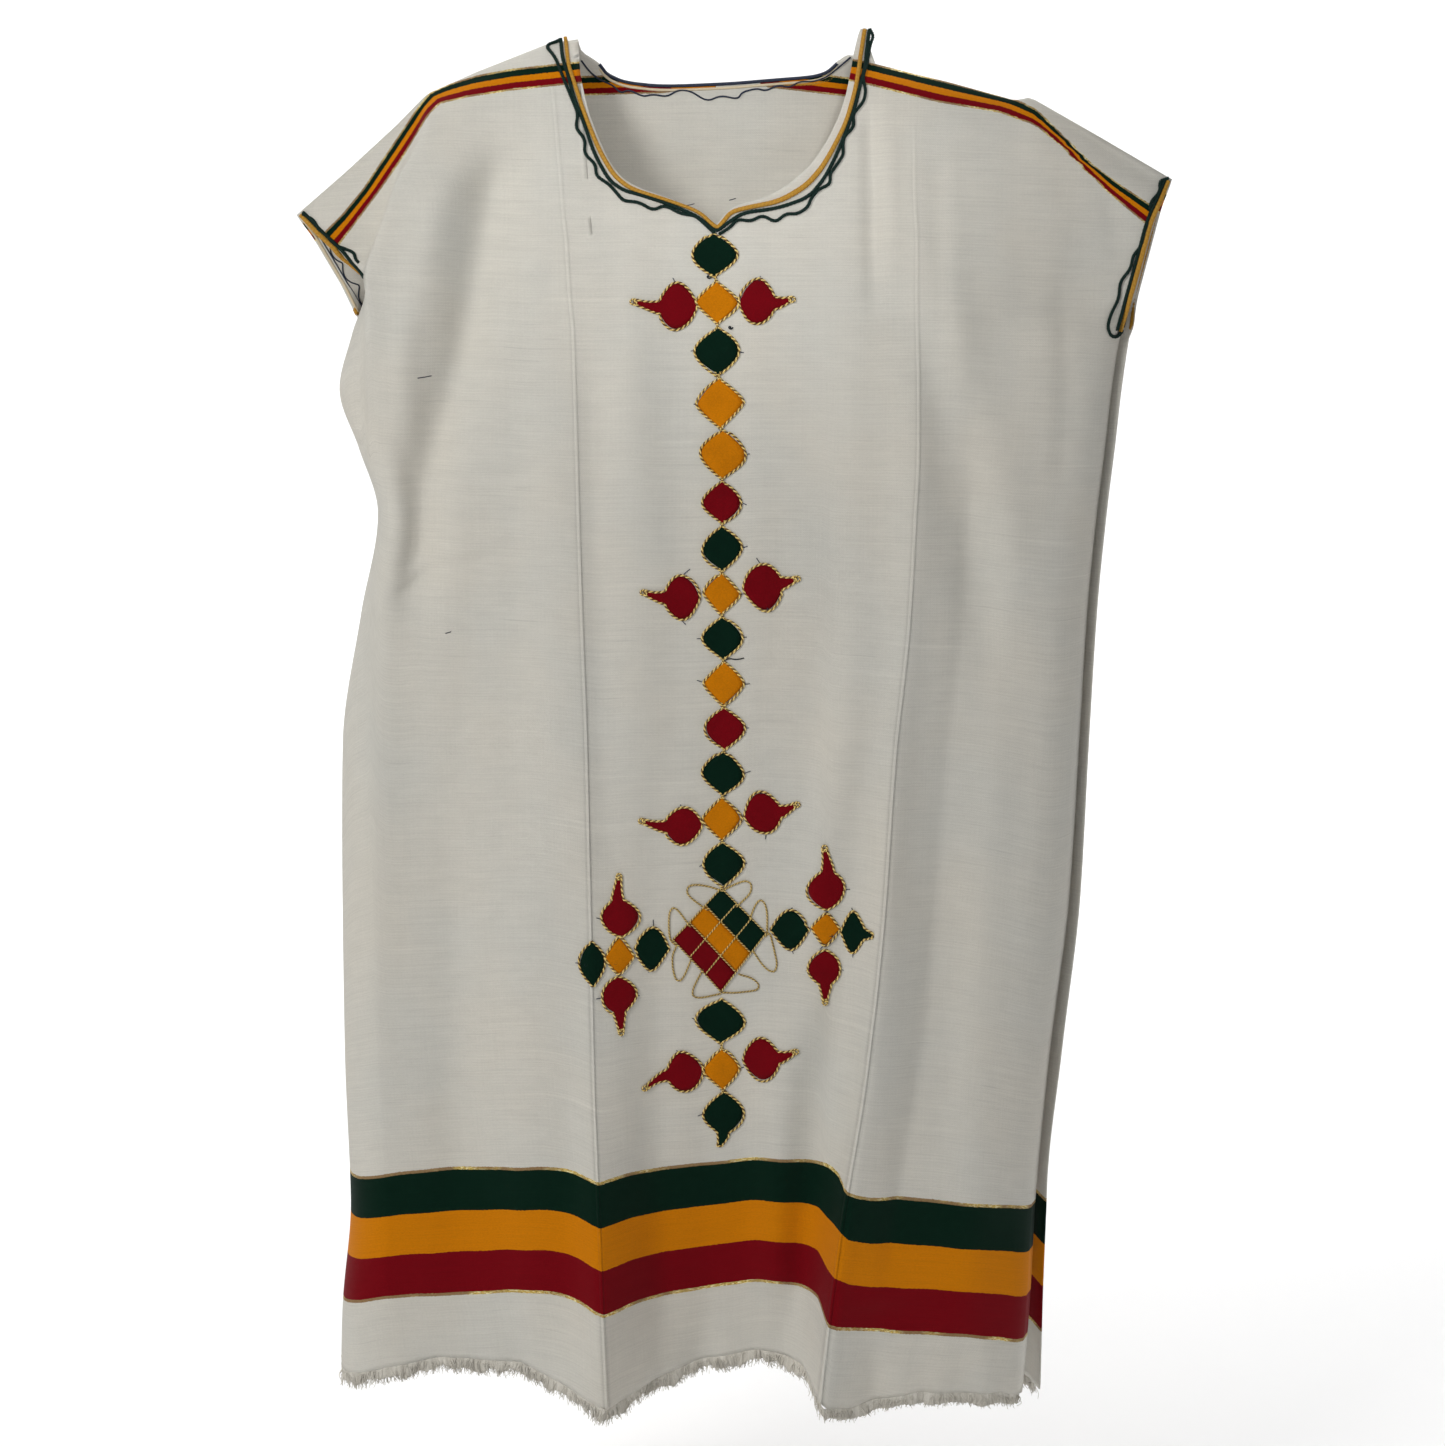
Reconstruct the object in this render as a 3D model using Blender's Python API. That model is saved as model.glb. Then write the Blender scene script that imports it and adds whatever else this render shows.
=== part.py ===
"""A hand-woven cotton dress, cut as two straight panels and hung from its shoulders.

The row frame: X to the viewer's right, Y away from the viewer, Z up, in metres. The origin is
the middle of the neck hole at the height of the shoulder seams, where the dress is held up.
The tables are in millimetres.

Each panel is a surface y = depth(x, z). Its outline is made of four strips that meet on
upright lines: the side edge, the roll of cloth under the left shoulder, the two pressed
creases and the other side edge. What is sewn on a panel is made from the same surface,
moved out along its normal.
"""

import math
from collections import namedtuple

import bpy
import numpy as np
from mathutils import Vector
from mathutils.bvhtree import BVHTree

MM = 0.001
WALL = 1.2
SEAM_GAP = 0.3
LIFT = 0.3

# The tricolour cloth of the appliques, cut at one thickness, with a soft crown in the middle.
PATCH_THICK = 1.1
PATCH_CROWN = 0.5
PATCH_GAP = 0.5
PATCH_STATIONS = 7

BRAID_WIDTH = 2.6
CORD_WIDTH = 2.4
TRIM_THICK = 1.2

LOCKS = 44
LOCK_LENGTH = 14.0
STRIP_HEIGHT = 2.5
STRIP_GAP = 0.6

CUFF_SHARE = 0.1
ROW_SHARES = [0, 0.02, 0.045, 0.07, CUFF_SHARE] + [
    CUFF_SHARE + (1 - CUFF_SHARE) * k / 17 for k in range(1, 18)
]

NECK_LEFT, NECK_RIGHT = -106.0, 105.0
NECK_POWER = 2.6
NECK_SPANS = 14

Lines = namedtuple("Lines", "z left roll crease_a crease_b right")
FRONT_LINES = [
    Lines(0, -324, -216, -128, 152, 350),
    Lines(-60, -324, -221, -122, 145, 350),
    Lines(-105, -324, -238, -118, 146, 350),
    Lines(-132, -324, -247, -116, 147, 337),
    Lines(-150, -305, -254, -114, 147, 332),
    Lines(-184, -269, -264, -112, 148, 324),
    Lines(-223, -282, -261, -109, 149, 313),
    Lines(-266, -293, -256, -108, 150, 307),
    Lines(-310, -279, -246, -107, 151, 303),
    Lines(-360, -265, -236, -106, 151, 298),
    Lines(-440, -280, -248, -104, 151, 292),
    Lines(-544, -297, -262, -101, 146, 288),
    Lines(-670, -300, -266, -98, 135, 283),
    Lines(-800, -301, -266, -95, 119, 270),
    Lines(-920, -299, -262, -92, 100, 261),
    Lines(-1010, -307, -264, -91, 91, 257),
    Lines(-1110, -311, -266, -88, 85, 251),
]
BACK_LINES = [
    Lines(0, -324, -216, -128, 152, 350),
    Lines(-105, -324, -225, -124, 148, 350),
    Lines(-132, -324, -228, -122, 148, 337),
    Lines(-212, -278, -236, -118, 149, 322),
    Lines(-266, -293, -250, -114, 150, 315),
    Lines(-310, -279, -243, -112, 150, 311),
    Lines(-360, -265, -236, -110, 149, 306),
    Lines(-440, -280, -246, -107, 147, 300),
    Lines(-544, -297, -258, -104, 143, 296),
    Lines(-670, -300, -262, -101, 136, 292),
    Lines(-800, -301, -262, -98, 128, 280),
    Lines(-920, -299, -258, -95, 118, 270),
    Lines(-1110, -311, -262, -92, 106, 269),
]

# How far each upright line stands out from the plane of the side seams, by the drop below the
# shoulder seam. middle is half way between the creases, flank half way from crease to side.
Depths = namedtuple("Depths", "drop roll crease_a middle crease_b flank")
FRONT_DEPTHS = [
    Depths(0, 0, 0, 0, 0, 0),
    Depths(12, 13, 11, 11, 11, 9),
    Depths(40, 30, 23, 20, 22, 17),
    Depths(90, 42, 35, 30, 34, 25),
    Depths(160, 46, 46, 40, 46, 33),
    Depths(280, 48, 58, 48, 58, 40),
    Depths(450, 50, 66, 53, 67, 45),
    Depths(650, 55, 76, 54, 78, 50),
    Depths(800, 58, 84, 50, 86, 56),
    Depths(900, 60, 92, 45, 93, 62),
    Depths(1000, 60, 101, 40, 101, 66),
    Depths(1100, 57, 112, 35, 111, 68),
]
BACK_DEPTHS = [
    Depths(0, 0, 0, 0, 0, 0),
    Depths(12, 11, 10, 9, 10, 10),
    Depths(40, 20, 20, 20, 20, 19),
    Depths(90, 28, 30, 28, 30, 27),
    Depths(160, 34, 38, 34, 39, 34),
    Depths(280, 40, 46, 40, 48, 41),
    Depths(450, 46, 54, 44, 57, 48),
    Depths(650, 52, 62, 48, 66, 55),
    Depths(850, 58, 70, 52, 74, 62),
    Depths(1000, 62, 78, 52, 82, 66),
    Depths(1100, 64, 84, 50, 88, 68),
]

# The shoulder seam, from the left cuff over the neck to the right cuff, as x and z. The neck's
# own edge leaves it at NECK_LEFT and comes back at NECK_RIGHT, where it stands up in a point.
SEAM = [
    (-324, -132),
    (-286, -101),
    (-243, -64),
    (-219, -41),
    (-181, -24),
    (-128, -3),
    (NECK_LEFT, 0),
    (NECK_RIGHT, -12),
    (121, -18),
    (152, -26),
    (178, -32),
    (230, -46),
    (240, -43),
    (294, -73),
    (350, -105),
]
NECK_POINT_X, NECK_POINT_RISE = 113.0, 19.0

# The hem's cloth edge, as x and z, above the fringe.
FRONT_HEM = [
    (-311, -1061),
    (-266, -1048),
    (-224, -1041),
    (-158, -1043),
    (-88, -1066),
    (-30, -1055),
    (31, -1042),
    (70, -1047),
    (85, -1066),
    (106, -1072),
    (162, -1066),
    (229, -1076),
    (251, -1089),
]
BACK_HEM = [
    (-311, -1058),
    (-262, -1056),
    (-92, -1062),
    (10, -1054),
    (106, -1064),
    (200, -1072),
    (269, -1086),
]

# The open edge at each arm, from the shoulder seam to the top of the side seam, as x and z.
FRONT_CUFF_LEFT = [(-324, -132), (-310, -145), (-296, -158), (-283, -171), (-269, -184)]
FRONT_CUFF_RIGHT = [(350, -105), (335, -136), (329, -162), (321, -193), (313, -223)]
BACK_CUFF_LEFT = [(-324, -132), (-313, -151), (-302, -170), (-290, -191), (-278, -212)]
BACK_CUFF_RIGHT = [(350, -105), (343, -134), (336, -163), (329, -192), (322, -222)]

CUFF_BULGE = {"front": 11.0, "back": 15.0}
SLIT_TOP, SLIT_SPREAD = -915.0, 9.0

Panel = namedtuple(
    "Panel", "side lines depths hem cuff_left cuff_right neck_drop neck_notch splits"
)
FRONT = Panel(
    "front", FRONT_LINES, FRONT_DEPTHS, FRONT_HEM, FRONT_CUFF_LEFT, FRONT_CUFF_RIGHT,
    119.4, 15.6, ([0, 0.28, 0.52, 0.7, 0.85], 6, 7),
)
BACK = Panel(
    "back", BACK_LINES, BACK_DEPTHS, BACK_HEM, BACK_CUFF_LEFT, BACK_CUFF_RIGHT,
    40.0, 0.0, ([0, 0.25, 0.5, 0.75], 4, 6),
)

GREEN, GOLD, RED = "green", "gold", "red"
COLOURS = {
    "cotton": (0.68, 0.66, 0.62, 1.0),
    "green": (0.004, 0.035, 0.022, 1.0),
    "gold": (0.62, 0.32, 0.01, 1.0),
    "red": (0.17, 0.0, 0.008, 1.0),
    "lurex": (0.56, 0.42, 0.16, 1.0),
}

# The appliques: middle of each as x and z, half width across and half length along its axis,
# the axis's turn from upright in degrees, and the tail that the pointed drops end in.
Patch = namedtuple("Patch", "name colour x z across along turn shape tail bend")
COLUMN_PATCHES = [
    Patch("diamond_01", GREEN, -0.5, -164.5, 15.5, 15.2, 0, "round", 0, 0),
    Patch("diamond_02", GOLD, 1.6, -197, 15.0, 17.2, 0, "straight", 0, 0),
    Patch("diamond_03", GREEN, 1.8, -234, 16.0, 18.0, 0, "round", 0, 0),
    Patch("diamond_04", GOLD, 3.6, -273, 18.0, 19.4, 0, "straight", 0, 0),
    Patch("diamond_05", GOLD, 4.4, -312, 17.0, 19.0, 0, "round", 0, 0),
    Patch("diamond_06", RED, 4.0, -348.5, 14.5, 16.4, 0, "round", 0, 0),
    Patch("diamond_07", GREEN, 4.0, -384, 15.0, 17.4, 0, "round", 0, 0),
    Patch("diamond_08", GOLD, 3.6, -419, 14.0, 16.3, 0, "straight", 0, 0),
    Patch("diamond_09", GREEN, 4.4, -453.5, 15.0, 17.0, 0, "round", 0, 0),
    Patch("diamond_10", GOLD, 5.4, -489, 16.0, 17.3, 0, "straight", 0, 0),
    Patch("diamond_11", RED, 6.0, -524.5, 15.0, 17.0, 0, "round", 0, 0),
    Patch("diamond_12", GREEN, 4.8, -560, 16.0, 17.4, 0, "round", 0, 0),
    Patch("diamond_13", GOLD, 3.8, -596, 15.0, 17.3, 0, "straight", 0, 0),
    Patch("diamond_14", GREEN, 4.6, -632, 16.0, 17.8, 0, "round", 0, 0),
    Patch("diamond_15", GREEN, 3.0, -763.5, 17.0, 18.6, 0, "round", 0, 0),
    Patch("diamond_16", GOLD, 3.8, -800.5, 15.0, 17.3, 0, "straight", 0, 0),
    Patch("diamond_17", GREEN, 5.2, -838, 16.0, 19.0, 180, "round", 9, 3),
]
DROP_PATCHES = [
    Patch("drop_01_left", RED, -31.0, -197, 17.5, 15.5, 92, "drop", 17, 5),
    Patch("drop_01_right", RED, 33.0, -196, 17.0, 15.0, -92, "drop", 11, -3),
    Patch("drop_02_left", RED, -28.0, -422, 17.0, 14.5, 90, "drop", 14, 4),
    Patch("drop_02_right", RED, 36.0, -413, 17.5, 16.0, -84, "drop", 10, -2),
    Patch("drop_03_left", RED, -27.0, -601, 14.5, 15.5, 94, "drop", 16, 6),
    Patch("drop_03_right", RED, 36.5, -592, 16.0, 15.5, -84, "drop", 11, -4),
    Patch("drop_04_left", RED, -28.5, -806, 17.5, 15.5, 96, "drop", 17, -7),
    Patch("drop_04_right", RED, 36.0, -791, 16.5, 15.5, -80, "drop", 11, -3),
]
ARM_PATCHES = [
    Patch("arm_left_inner", GREEN, -50.5, -702, 17.5, 14.0, 84, "round", 0, 0),
    Patch("arm_left_middle", GOLD, -77.5, -707, 14.5, 11.5, 90, "straight", 0, 0),
    Patch("arm_left_upper", RED, -75.0, -675, 14.0, 16.0, 4, "drop", 16, 3),
    Patch("arm_left_lower", RED, -77.5, -740, 13.0, 15.5, 184, "drop", 14, 0),
    Patch("arm_left_outer", GREEN, -97.1, -711, 9.5, 18.0, 1.3, "round", 0, 0),
    Patch("arm_right_inner", GREEN, 56.5, -687, 15.5, 15.5, -88, "round", 0, 0),
    Patch("arm_right_middle", GOLD, 84.0, -686, 13.0, 11.2, 90, "straight", 0, 0),
    Patch("arm_right_upper", RED, 85.0, -653, 14.0, 16.5, -4, "drop", 16, -3),
    Patch("arm_right_lower", RED, 83.5, -718, 12.5, 15.0, 182, "drop", 12, 0),
    Patch("arm_right_outer", GREEN, 106.0, -687, 16.5, 10.0, -90, "round", 6, 0),
]

# The large diamond in the column: its corners as x and z, and its three strips, which run from
# the upper left to the lower right, each from one share of the way across to another.
BIG_TOP, BIG_RIGHT = (3.5, -655.5), (37.0, -692.0)
BIG_LEFT, BIG_BOTTOM = (-32.0, -698.5), (3.0, -736.5)
BIG_STRIPS = [
    ("big_green", GREEN, 0.0, 0.33),
    ("big_gold", GOLD, 0.34, 0.66),
    ("big_red", RED, 0.67, 1.0),
]


def between(table, key, name, at):
    """A smooth value of the column `name` at `at`, where the table's rows are sorted by `key`."""
    rows = sorted(table, key=lambda row: getattr(row, key))
    return smooth_line([(getattr(r, key), getattr(r, name)) for r in rows], at)


def smooth_line(points, at):
    """The curve through the points that never overshoots them, at one x."""
    xs = [p[0] for p in points]
    ys = [p[1] for p in points]
    at = min(max(at, xs[0]), xs[-1])
    k = min(max(int(np.searchsorted(xs, at)) - 1, 0), len(xs) - 2)
    slopes = [(ys[i + 1] - ys[i]) / (xs[i + 1] - xs[i]) for i in range(len(xs) - 1)]

    def tangent(i):
        if i == 0:
            return slopes[0]
        if i == len(xs) - 1:
            return slopes[-1]
        before, after = slopes[i - 1], slopes[i]
        return 0.0 if before * after <= 0 else 2 * before * after / (before + after)

    width = xs[k + 1] - xs[k]
    u = (at - xs[k]) / width
    return (
        ys[k] * (1 + 2 * u) * (1 - u) ** 2
        + ys[k + 1] * u * u * (3 - 2 * u)
        + width * tangent(k) * u * (1 - u) ** 2
        + width * tangent(k + 1) * u * u * (u - 1)
    )


def straight_line(points, at):
    """The broken line through the points, at one x."""
    return float(np.interp(at, [p[0] for p in points], [p[1] for p in points]))


def ease(u):
    u = min(max(u, 0.0), 1.0)
    return u * u * (3 - 2 * u)


def bow(u, power):
    """Rises from 0 at u = 0 to 1 at u = 1 like a quarter of an ellipse."""
    u = min(max(u, 0.0), 1.0)
    return (1 - (1 - u) ** power) ** (1 / power)


def lines_at(panel, z):
    """The x of each upright line of a panel at one height."""
    names = ("left", "roll", "crease_a", "crease_b", "right")
    return [between(panel.lines, "z", name, z) for name in names]


def depth_at(panel, x, z):
    """How far the panel's middle layer stands out from the plane of the side seams."""
    left, roll, crease_a, crease_b, right = lines_at(panel, z)
    drop = max(straight_line(SEAM, x) - z, 0.0)
    out = {n: between(panel.depths, "drop", n, drop) for n in Depths._fields[1:]}
    cuff_bottom_left = panel.cuff_left[-1][1]
    cuff_bottom_right = panel.cuff_right[-1][1]
    if x <= roll:
        share = (x - left) / (roll - left)
        body = out["roll"] * bow(share, 2.2)
        opening = ease((z - cuff_bottom_left) / 30)
        sleeve = CUFF_BULGE[panel.side] * ease(drop / 30)
        if panel.side == "front":
            step = ease((share - 0.7) / 0.3)
            sleeve += (out["roll"] - sleeve) * step
        else:
            sleeve += (out["roll"] - sleeve) * ease(share)
        depth = body + (sleeve - body) * opening
    elif x <= crease_a:
        share = (x - roll) / (crease_a - roll)
        sag = 5.0 * math.sin(math.pi * share) * ease(drop / 160)
        depth = out["roll"] + (out["crease_a"] - out["roll"]) * share**1.4 - sag
    elif x <= crease_b:
        share = (x - crease_a) / (crease_b - crease_a)
        if share < 0.5:
            pull = (1 - 2 * share) ** 1.9
            depth = out["middle"] + (out["crease_a"] - out["middle"]) * pull
        else:
            pull = (2 * share - 1) ** 3.0
            depth = out["middle"] + (out["crease_b"] - out["middle"]) * pull
    else:
        share = (x - crease_b) / (right - crease_b)
        if share < 0.5:
            depth = out["crease_b"] + (out["flank"] - out["crease_b"]) * (2 * share) ** 0.8
        else:
            depth = out["flank"] * bow(2 - 2 * share, 1.7)
        opening = ease((z - cuff_bottom_right) / 30) * ease((share - 0.3) / 0.7)
        sleeve = CUFF_BULGE[panel.side] * ease(drop / 30)
        depth += (sleeve - depth) * opening
    edge = min(abs(x - left), abs(x - right))
    slit = SLIT_SPREAD * ease((SLIT_TOP - z) / 120) * ease(1 - edge / 50)
    return max(depth, 0.0) + slit


def surface_point(panel, x, z):
    """A point of the panel's middle layer, in millimetres."""
    sign = -1 if panel.side == "front" else 1
    least = SEAM_GAP / 2 + WALL / 2
    return np.array([x, sign * max(depth_at(panel, x, z), least), z])


def outward(panel, x, z, step=1.5):
    """The panel's normal at a point, away from the wearer."""
    across = surface_point(panel, x + step, z) - surface_point(panel, x - step, z)
    down = surface_point(panel, x, z - step) - surface_point(panel, x, z + step)
    normal = np.cross(across, down)
    if (normal[1] > 0) == (panel.side == "front"):
        normal = -normal
    return normal / np.linalg.norm(normal)


def face_of(panel, tree, x, z):
    """The point of a built panel's outer face at x and z, or None beside the cloth."""
    away = -1 if panel.side == "front" else 1
    hit = tree.ray_cast(Vector((x, away * 400, z)), Vector((0, -away, 0)))[0]
    return None if hit is None else np.array(hit)


def on_panel(panel, tree, x, z):
    """The point of a built panel's outer face at x and z, and the way out of it."""
    hit = face_of(panel, tree, x, z)
    if hit is None:
        raise ValueError(f"nothing of the {panel.side} panel is at x {x:.1f}, z {z:.1f}")
    return hit, outward(panel, x, z)


def sewn_on(panel, tree, spots, thick):
    """The outer and inner points of cloth that lies on a panel at a grid of x and z spots.

    thick is how thick the cloth is at each spot. Each point is moved out by what the panel
    stands above the straight lines from its foot to the next ones, to clear a fold under it.
    """
    found = [[on_panel(panel, tree, *spot) for spot in row] for row in spots]
    feet = np.array([[foot for foot, _ in row] for row in found])
    normals = np.array([[normal for _, normal in row] for row in found])
    away = -1 if panel.side == "front" else 1
    sunk = np.zeros(feet.shape[:2])
    neighbours = [
        (np.s_[1:, :], np.s_[:-1, :]),
        (np.s_[:, 1:], np.s_[:, :-1]),
        (np.s_[1:, 1:], np.s_[:-1, :-1]),
        (np.s_[1:, :-1], np.s_[:-1, 1:]),
    ]
    for start, end in neighbours:
        for share in (0.2, 0.4, 0.6, 0.8):
            spots_between = feet[start] + (feet[end] - feet[start]) * share
            above = np.zeros(spots_between.shape[:2])
            for index in np.ndindex(above.shape):
                x, y, z = spots_between[index]
                hit = face_of(panel, tree, x, z)
                above[index] = 0 if hit is None else (hit[1] - y) * away
            sunk[start] = np.maximum(sunk[start], above)
            sunk[end] = np.maximum(sunk[end], above)
    inner = feet + normals * (LIFT + sunk)[..., None]
    return inner + normals * np.array(thick)[..., None], inner


def neck_edge(panel):
    """The neck's cut edge as points from its left end down to the middle and up again."""
    middle = (NECK_LEFT + NECK_RIGHT) / 2
    half = (NECK_RIGHT - NECK_LEFT) / 2
    notch_half = half * math.sin(math.pi / NECK_SPANS)
    edge = []
    for k in range(NECK_SPANS + 1):
        x = middle - half * math.cos(math.pi * k / NECK_SPANS)
        u = min(abs(x - middle) / half, 1.0)
        bowl = panel.neck_drop * (1 - u**NECK_POWER) ** (1 / NECK_POWER)
        notch = panel.neck_notch * max(0.0, 1 - abs(x - middle) / notch_half)
        edge.append((x, straight_line(SEAM, x) - bowl - notch))
    return edge


def top_edge(panel):
    """The panel's upper edge as four runs of points: over the sleeve, to the neck, and on."""
    shares, body_spans, flank_spans = panel.splits
    _, roll, crease_a, crease_b, _ = lines_at(panel, 0)
    start, end = SEAM[0][0], SEAM[-1][0]
    sleeve = [start + (roll - start) * s for s in shares] + [roll]
    body = [roll + (crease_a - roll) * k / body_spans for k in range(body_spans + 1)]
    flank = [crease_b + (end - crease_b) * k / flank_spans for k in range(flank_spans + 1)]
    on_seam = [[(x, straight_line(SEAM, x)) for x in run] for run in (sleeve, body, flank)]
    point = (NECK_POINT_X, straight_line(SEAM, NECK_POINT_X) + NECK_POINT_RISE)
    around_neck = (
        [(crease_a, straight_line(SEAM, crease_a))]
        + neck_edge(panel)
        + [point]
        + [(x, straight_line(SEAM, x)) for x in (122.0, 134.0, crease_b)]
    )
    return [on_seam[0], on_seam[1], around_neck, on_seam[2]]


def row_on_line(panel, name, top_z, share):
    """The point of an upright line at one share of the way down."""
    x_hem = between(panel.lines, "z", name, -1070)
    hem_z = straight_line(panel.hem, x_hem)
    z = top_z + (hem_z - top_z) * share
    # The rows under the arm start lower than the straight share, at the end of the cuff.
    under_arm = {"roll": 30.0 if panel.side == "front" else 45.0}.get(name, 0.0)
    z -= under_arm * math.sin(math.pi * min(share / (2 * CUFF_SHARE), 1.0))
    return (between(panel.lines, "z", name, z), z)


def row_on_side(panel, cuff, name, share):
    """The point of a side edge at one share of the way down: on the cuff, then on the seam."""
    if share <= CUFF_SHARE:
        at = share / CUFF_SHARE * (len(cuff) - 1)
        k = min(int(at), len(cuff) - 2)
        return tuple(np.array(cuff[k]) + (np.array(cuff[k + 1]) - np.array(cuff[k])) * (at - k))
    hem = panel.hem[0 if name == "left" else -1]
    down = (share - CUFF_SHARE) / (1 - CUFF_SHARE)
    z = cuff[-1][1] + (hem[1] - cuff[-1][1]) * down
    if share == 1:
        return hem
    return (between(panel.lines, "z", name, z), z)


def coons(top, bottom, left, right, shares):
    """Rows of points filling four edges. top and bottom have one length, left and right another."""
    top, bottom = np.array(top, float), np.array(bottom, float)
    spans = np.linspace(0, 1, len(top))
    if len(top) > 2:
        spans = (bottom[:, 0] - bottom[0, 0]) / (bottom[-1, 0] - bottom[0, 0])
    rows = []
    for k, t in enumerate(shares):
        row = (1 - t) * top + t * bottom
        start, end = row[0].copy(), row[-1].copy()
        row += np.outer(1 - spans, np.array(left[k]) - start)
        row += np.outer(spans, np.array(right[k]) - end)
        rows.append(row)
    return rows


def panel_outline_grid(panel, shares=ROW_SHARES):
    """The x and z of each point of the panel, row by row from the shoulder to the hem."""
    runs = top_edge(panel)
    tops = [run[0] for run in runs] + [runs[-1][-1]]
    names = ("left", "roll", "crease_a", "crease_b", "right")
    uprights = []
    for name, top in zip(names, tops):
        if name in ("left", "right"):
            cuff = panel.cuff_left if name == "left" else panel.cuff_right
            uprights.append([row_on_side(panel, cuff, name, s) for s in shares])
        else:
            uprights.append([row_on_line(panel, name, top[1], s) for s in shares])
    grid = [[] for _ in shares]
    for k, run in enumerate(runs):
        low, high = uprights[k][-1], uprights[k + 1][-1]
        start, end = run[0][0], run[-1][0]
        bottom = []
        for x, _ in run:
            x_hem = low[0] + (high[0] - low[0]) * (x - start) / (end - start)
            bottom.append((x_hem, straight_line(panel.hem, x_hem)))
        bottom[0], bottom[-1] = low, high
        for row, found in zip(grid, coons(run, bottom, uprights[k], uprights[k + 1], shares)):
            row.extend(found[0 if k == 0 else 1 :])
    return np.array(grid)


def panel_layers(panel):
    """The outer and inner points of a panel's wall, both as rows of points."""
    flat = panel_outline_grid(panel)
    middle = np.array([[surface_point(panel, x, z) for x, z in row] for row in flat])
    normals = np.array([[outward(panel, x, z) for x, z in row] for row in flat])
    sign = -1 if panel.side == "front" else 1
    least = SEAM_GAP / 2 + np.abs(normals[..., 1]) * WALL / 2
    stands = np.maximum(middle[..., 1] * sign, least)
    on_edge = np.zeros(stands.shape, bool)
    on_edge[:, 0] = on_edge[:, -1] = on_edge[0, :] = True
    close = on_edge & (stands < 1.0)
    stands[close] = least[close]
    middle[..., 1] = stands * sign
    return middle + normals * WALL / 2, middle - normals * WALL / 2


def halves(points, corners):
    """Two triangles of a four-cornered face, cut along its shorter diagonal."""
    a, b, c, d = corners
    if np.linalg.norm(points[a] - points[c]) <= np.linalg.norm(points[b] - points[d]):
        return [[a, b, c], [a, c, d]]
    return [[a, b, d], [b, c, d]]


def wall(outer, inner):
    """A closed wall between two grids of points of one size, as vertices and triangles."""
    rows, columns = outer.shape[:2]
    points = np.concatenate([outer.reshape(-1, 3), inner.reshape(-1, 3)])
    faces = []

    def at(layer, row, column):
        return layer * rows * columns + row * columns + column

    for row in range(rows - 1):
        for column in range(columns - 1):
            corners = ((row, column), (row, column + 1), (row + 1, column + 1), (row + 1, column))
            for half in halves(points, [at(0, *c) for c in corners]):
                faces.append(half)
                faces.append([i + rows * columns for i in reversed(half)])
    rim = (
        [(0, c) for c in range(columns)]
        + [(r, columns - 1) for r in range(1, rows)]
        + [(rows - 1, c) for c in range(columns - 2, -1, -1)]
        + [(r, 0) for r in range(rows - 2, 0, -1)]
    )
    for here, after in zip(rim, rim[1:] + rim[:1]):
        faces += halves(points, [at(1, *here), at(1, *after), at(0, *after), at(0, *here)])
    return points, faces


def material(name):
    found = bpy.data.materials.get(name)
    if found:
        return found
    made = bpy.data.materials.new(name)
    made.use_nodes = True
    shader = made.node_tree.nodes["Principled BSDF"]
    shader.inputs["Base Color"].default_value = COLOURS[name]
    shader.inputs["Roughness"].default_value = 0.45 if name == "lurex" else 0.9
    shader.inputs["Metallic"].default_value = 0.7 if name == "lurex" else 0.0
    made.diffuse_color = COLOURS[name]
    return made


def solid(name, points, faces, colour):
    """One named closed object from points in millimetres, with its faces turned outwards."""
    mesh = bpy.data.meshes.new(name)
    mesh.from_pydata([tuple(p * MM) for p in points], [], faces)
    mesh.update()
    obj = bpy.data.objects.new(name, mesh)
    bpy.context.scene.collection.objects.link(obj)
    mesh.calc_loop_triangles()
    corners = np.array([points[list(t.vertices)] for t in mesh.loop_triangles])
    volume = np.einsum("ij,ij->i", corners[:, 0], np.cross(corners[:, 1], corners[:, 2])).sum()
    if volume < 0:
        mesh.flip_normals()
    mesh.materials.append(material(colour))
    mesh.shade_smooth()
    mesh.set_sharp_from_angle(angle=math.radians(40))
    return obj


def build_panel(panel):
    """Makes a panel, and returns what finds points on it."""
    points, faces = wall(*panel_layers(panel))
    solid(f"{panel.side}_panel", points, faces, "cotton")
    return BVHTree.FromPolygons([tuple(p) for p in points], faces)


def half_width(shape, along):
    """The share of a patch's full half width at one share of its length, from -1 to 1."""
    if shape == "straight":
        return 1 - abs(along) ** 1.08
    if shape == "drop" and along > 0:
        return math.cos(math.pi * along / 2) ** 1.25
    return math.cos(math.pi * along / 2) ** 1.05


def patch_layers(patch, tree):
    """The outer and inner points of an applique, which lies on the front panel's outer face."""
    turn = math.radians(patch.turn)
    axis = np.array([-math.sin(turn), math.cos(turn)])
    across = np.array([axis[1], -axis[0]])
    stations = [math.sin(math.pi / 2 * s) for s in np.linspace(-1, 1, PATCH_STATIONS)]
    length = patch.along - PATCH_GAP
    tip = 1.2 / patch.across
    tail_spans = [0.35, 0.7, 1.0] if patch.tail else []
    spine = [(s * length, max(half_width(patch.shape, s), tip), 0.0) for s in stations]
    spine += [(length + patch.tail * s, tip, patch.bend * s) for s in tail_spans]
    spots, thick = [], []
    for along, width, bend in spine:
        sides = [axis * along + across * (s * width * patch.across + bend) for s in (-1, 0, 1)]
        spots.append([(patch.x + side[0], patch.z + side[1]) for side in sides])
        crown = PATCH_CROWN * min(width * 2, 1.0)
        thick.append([PATCH_THICK, PATCH_THICK + crown, PATCH_THICK])
    return sewn_on(FRONT, tree, spots, thick)


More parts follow.
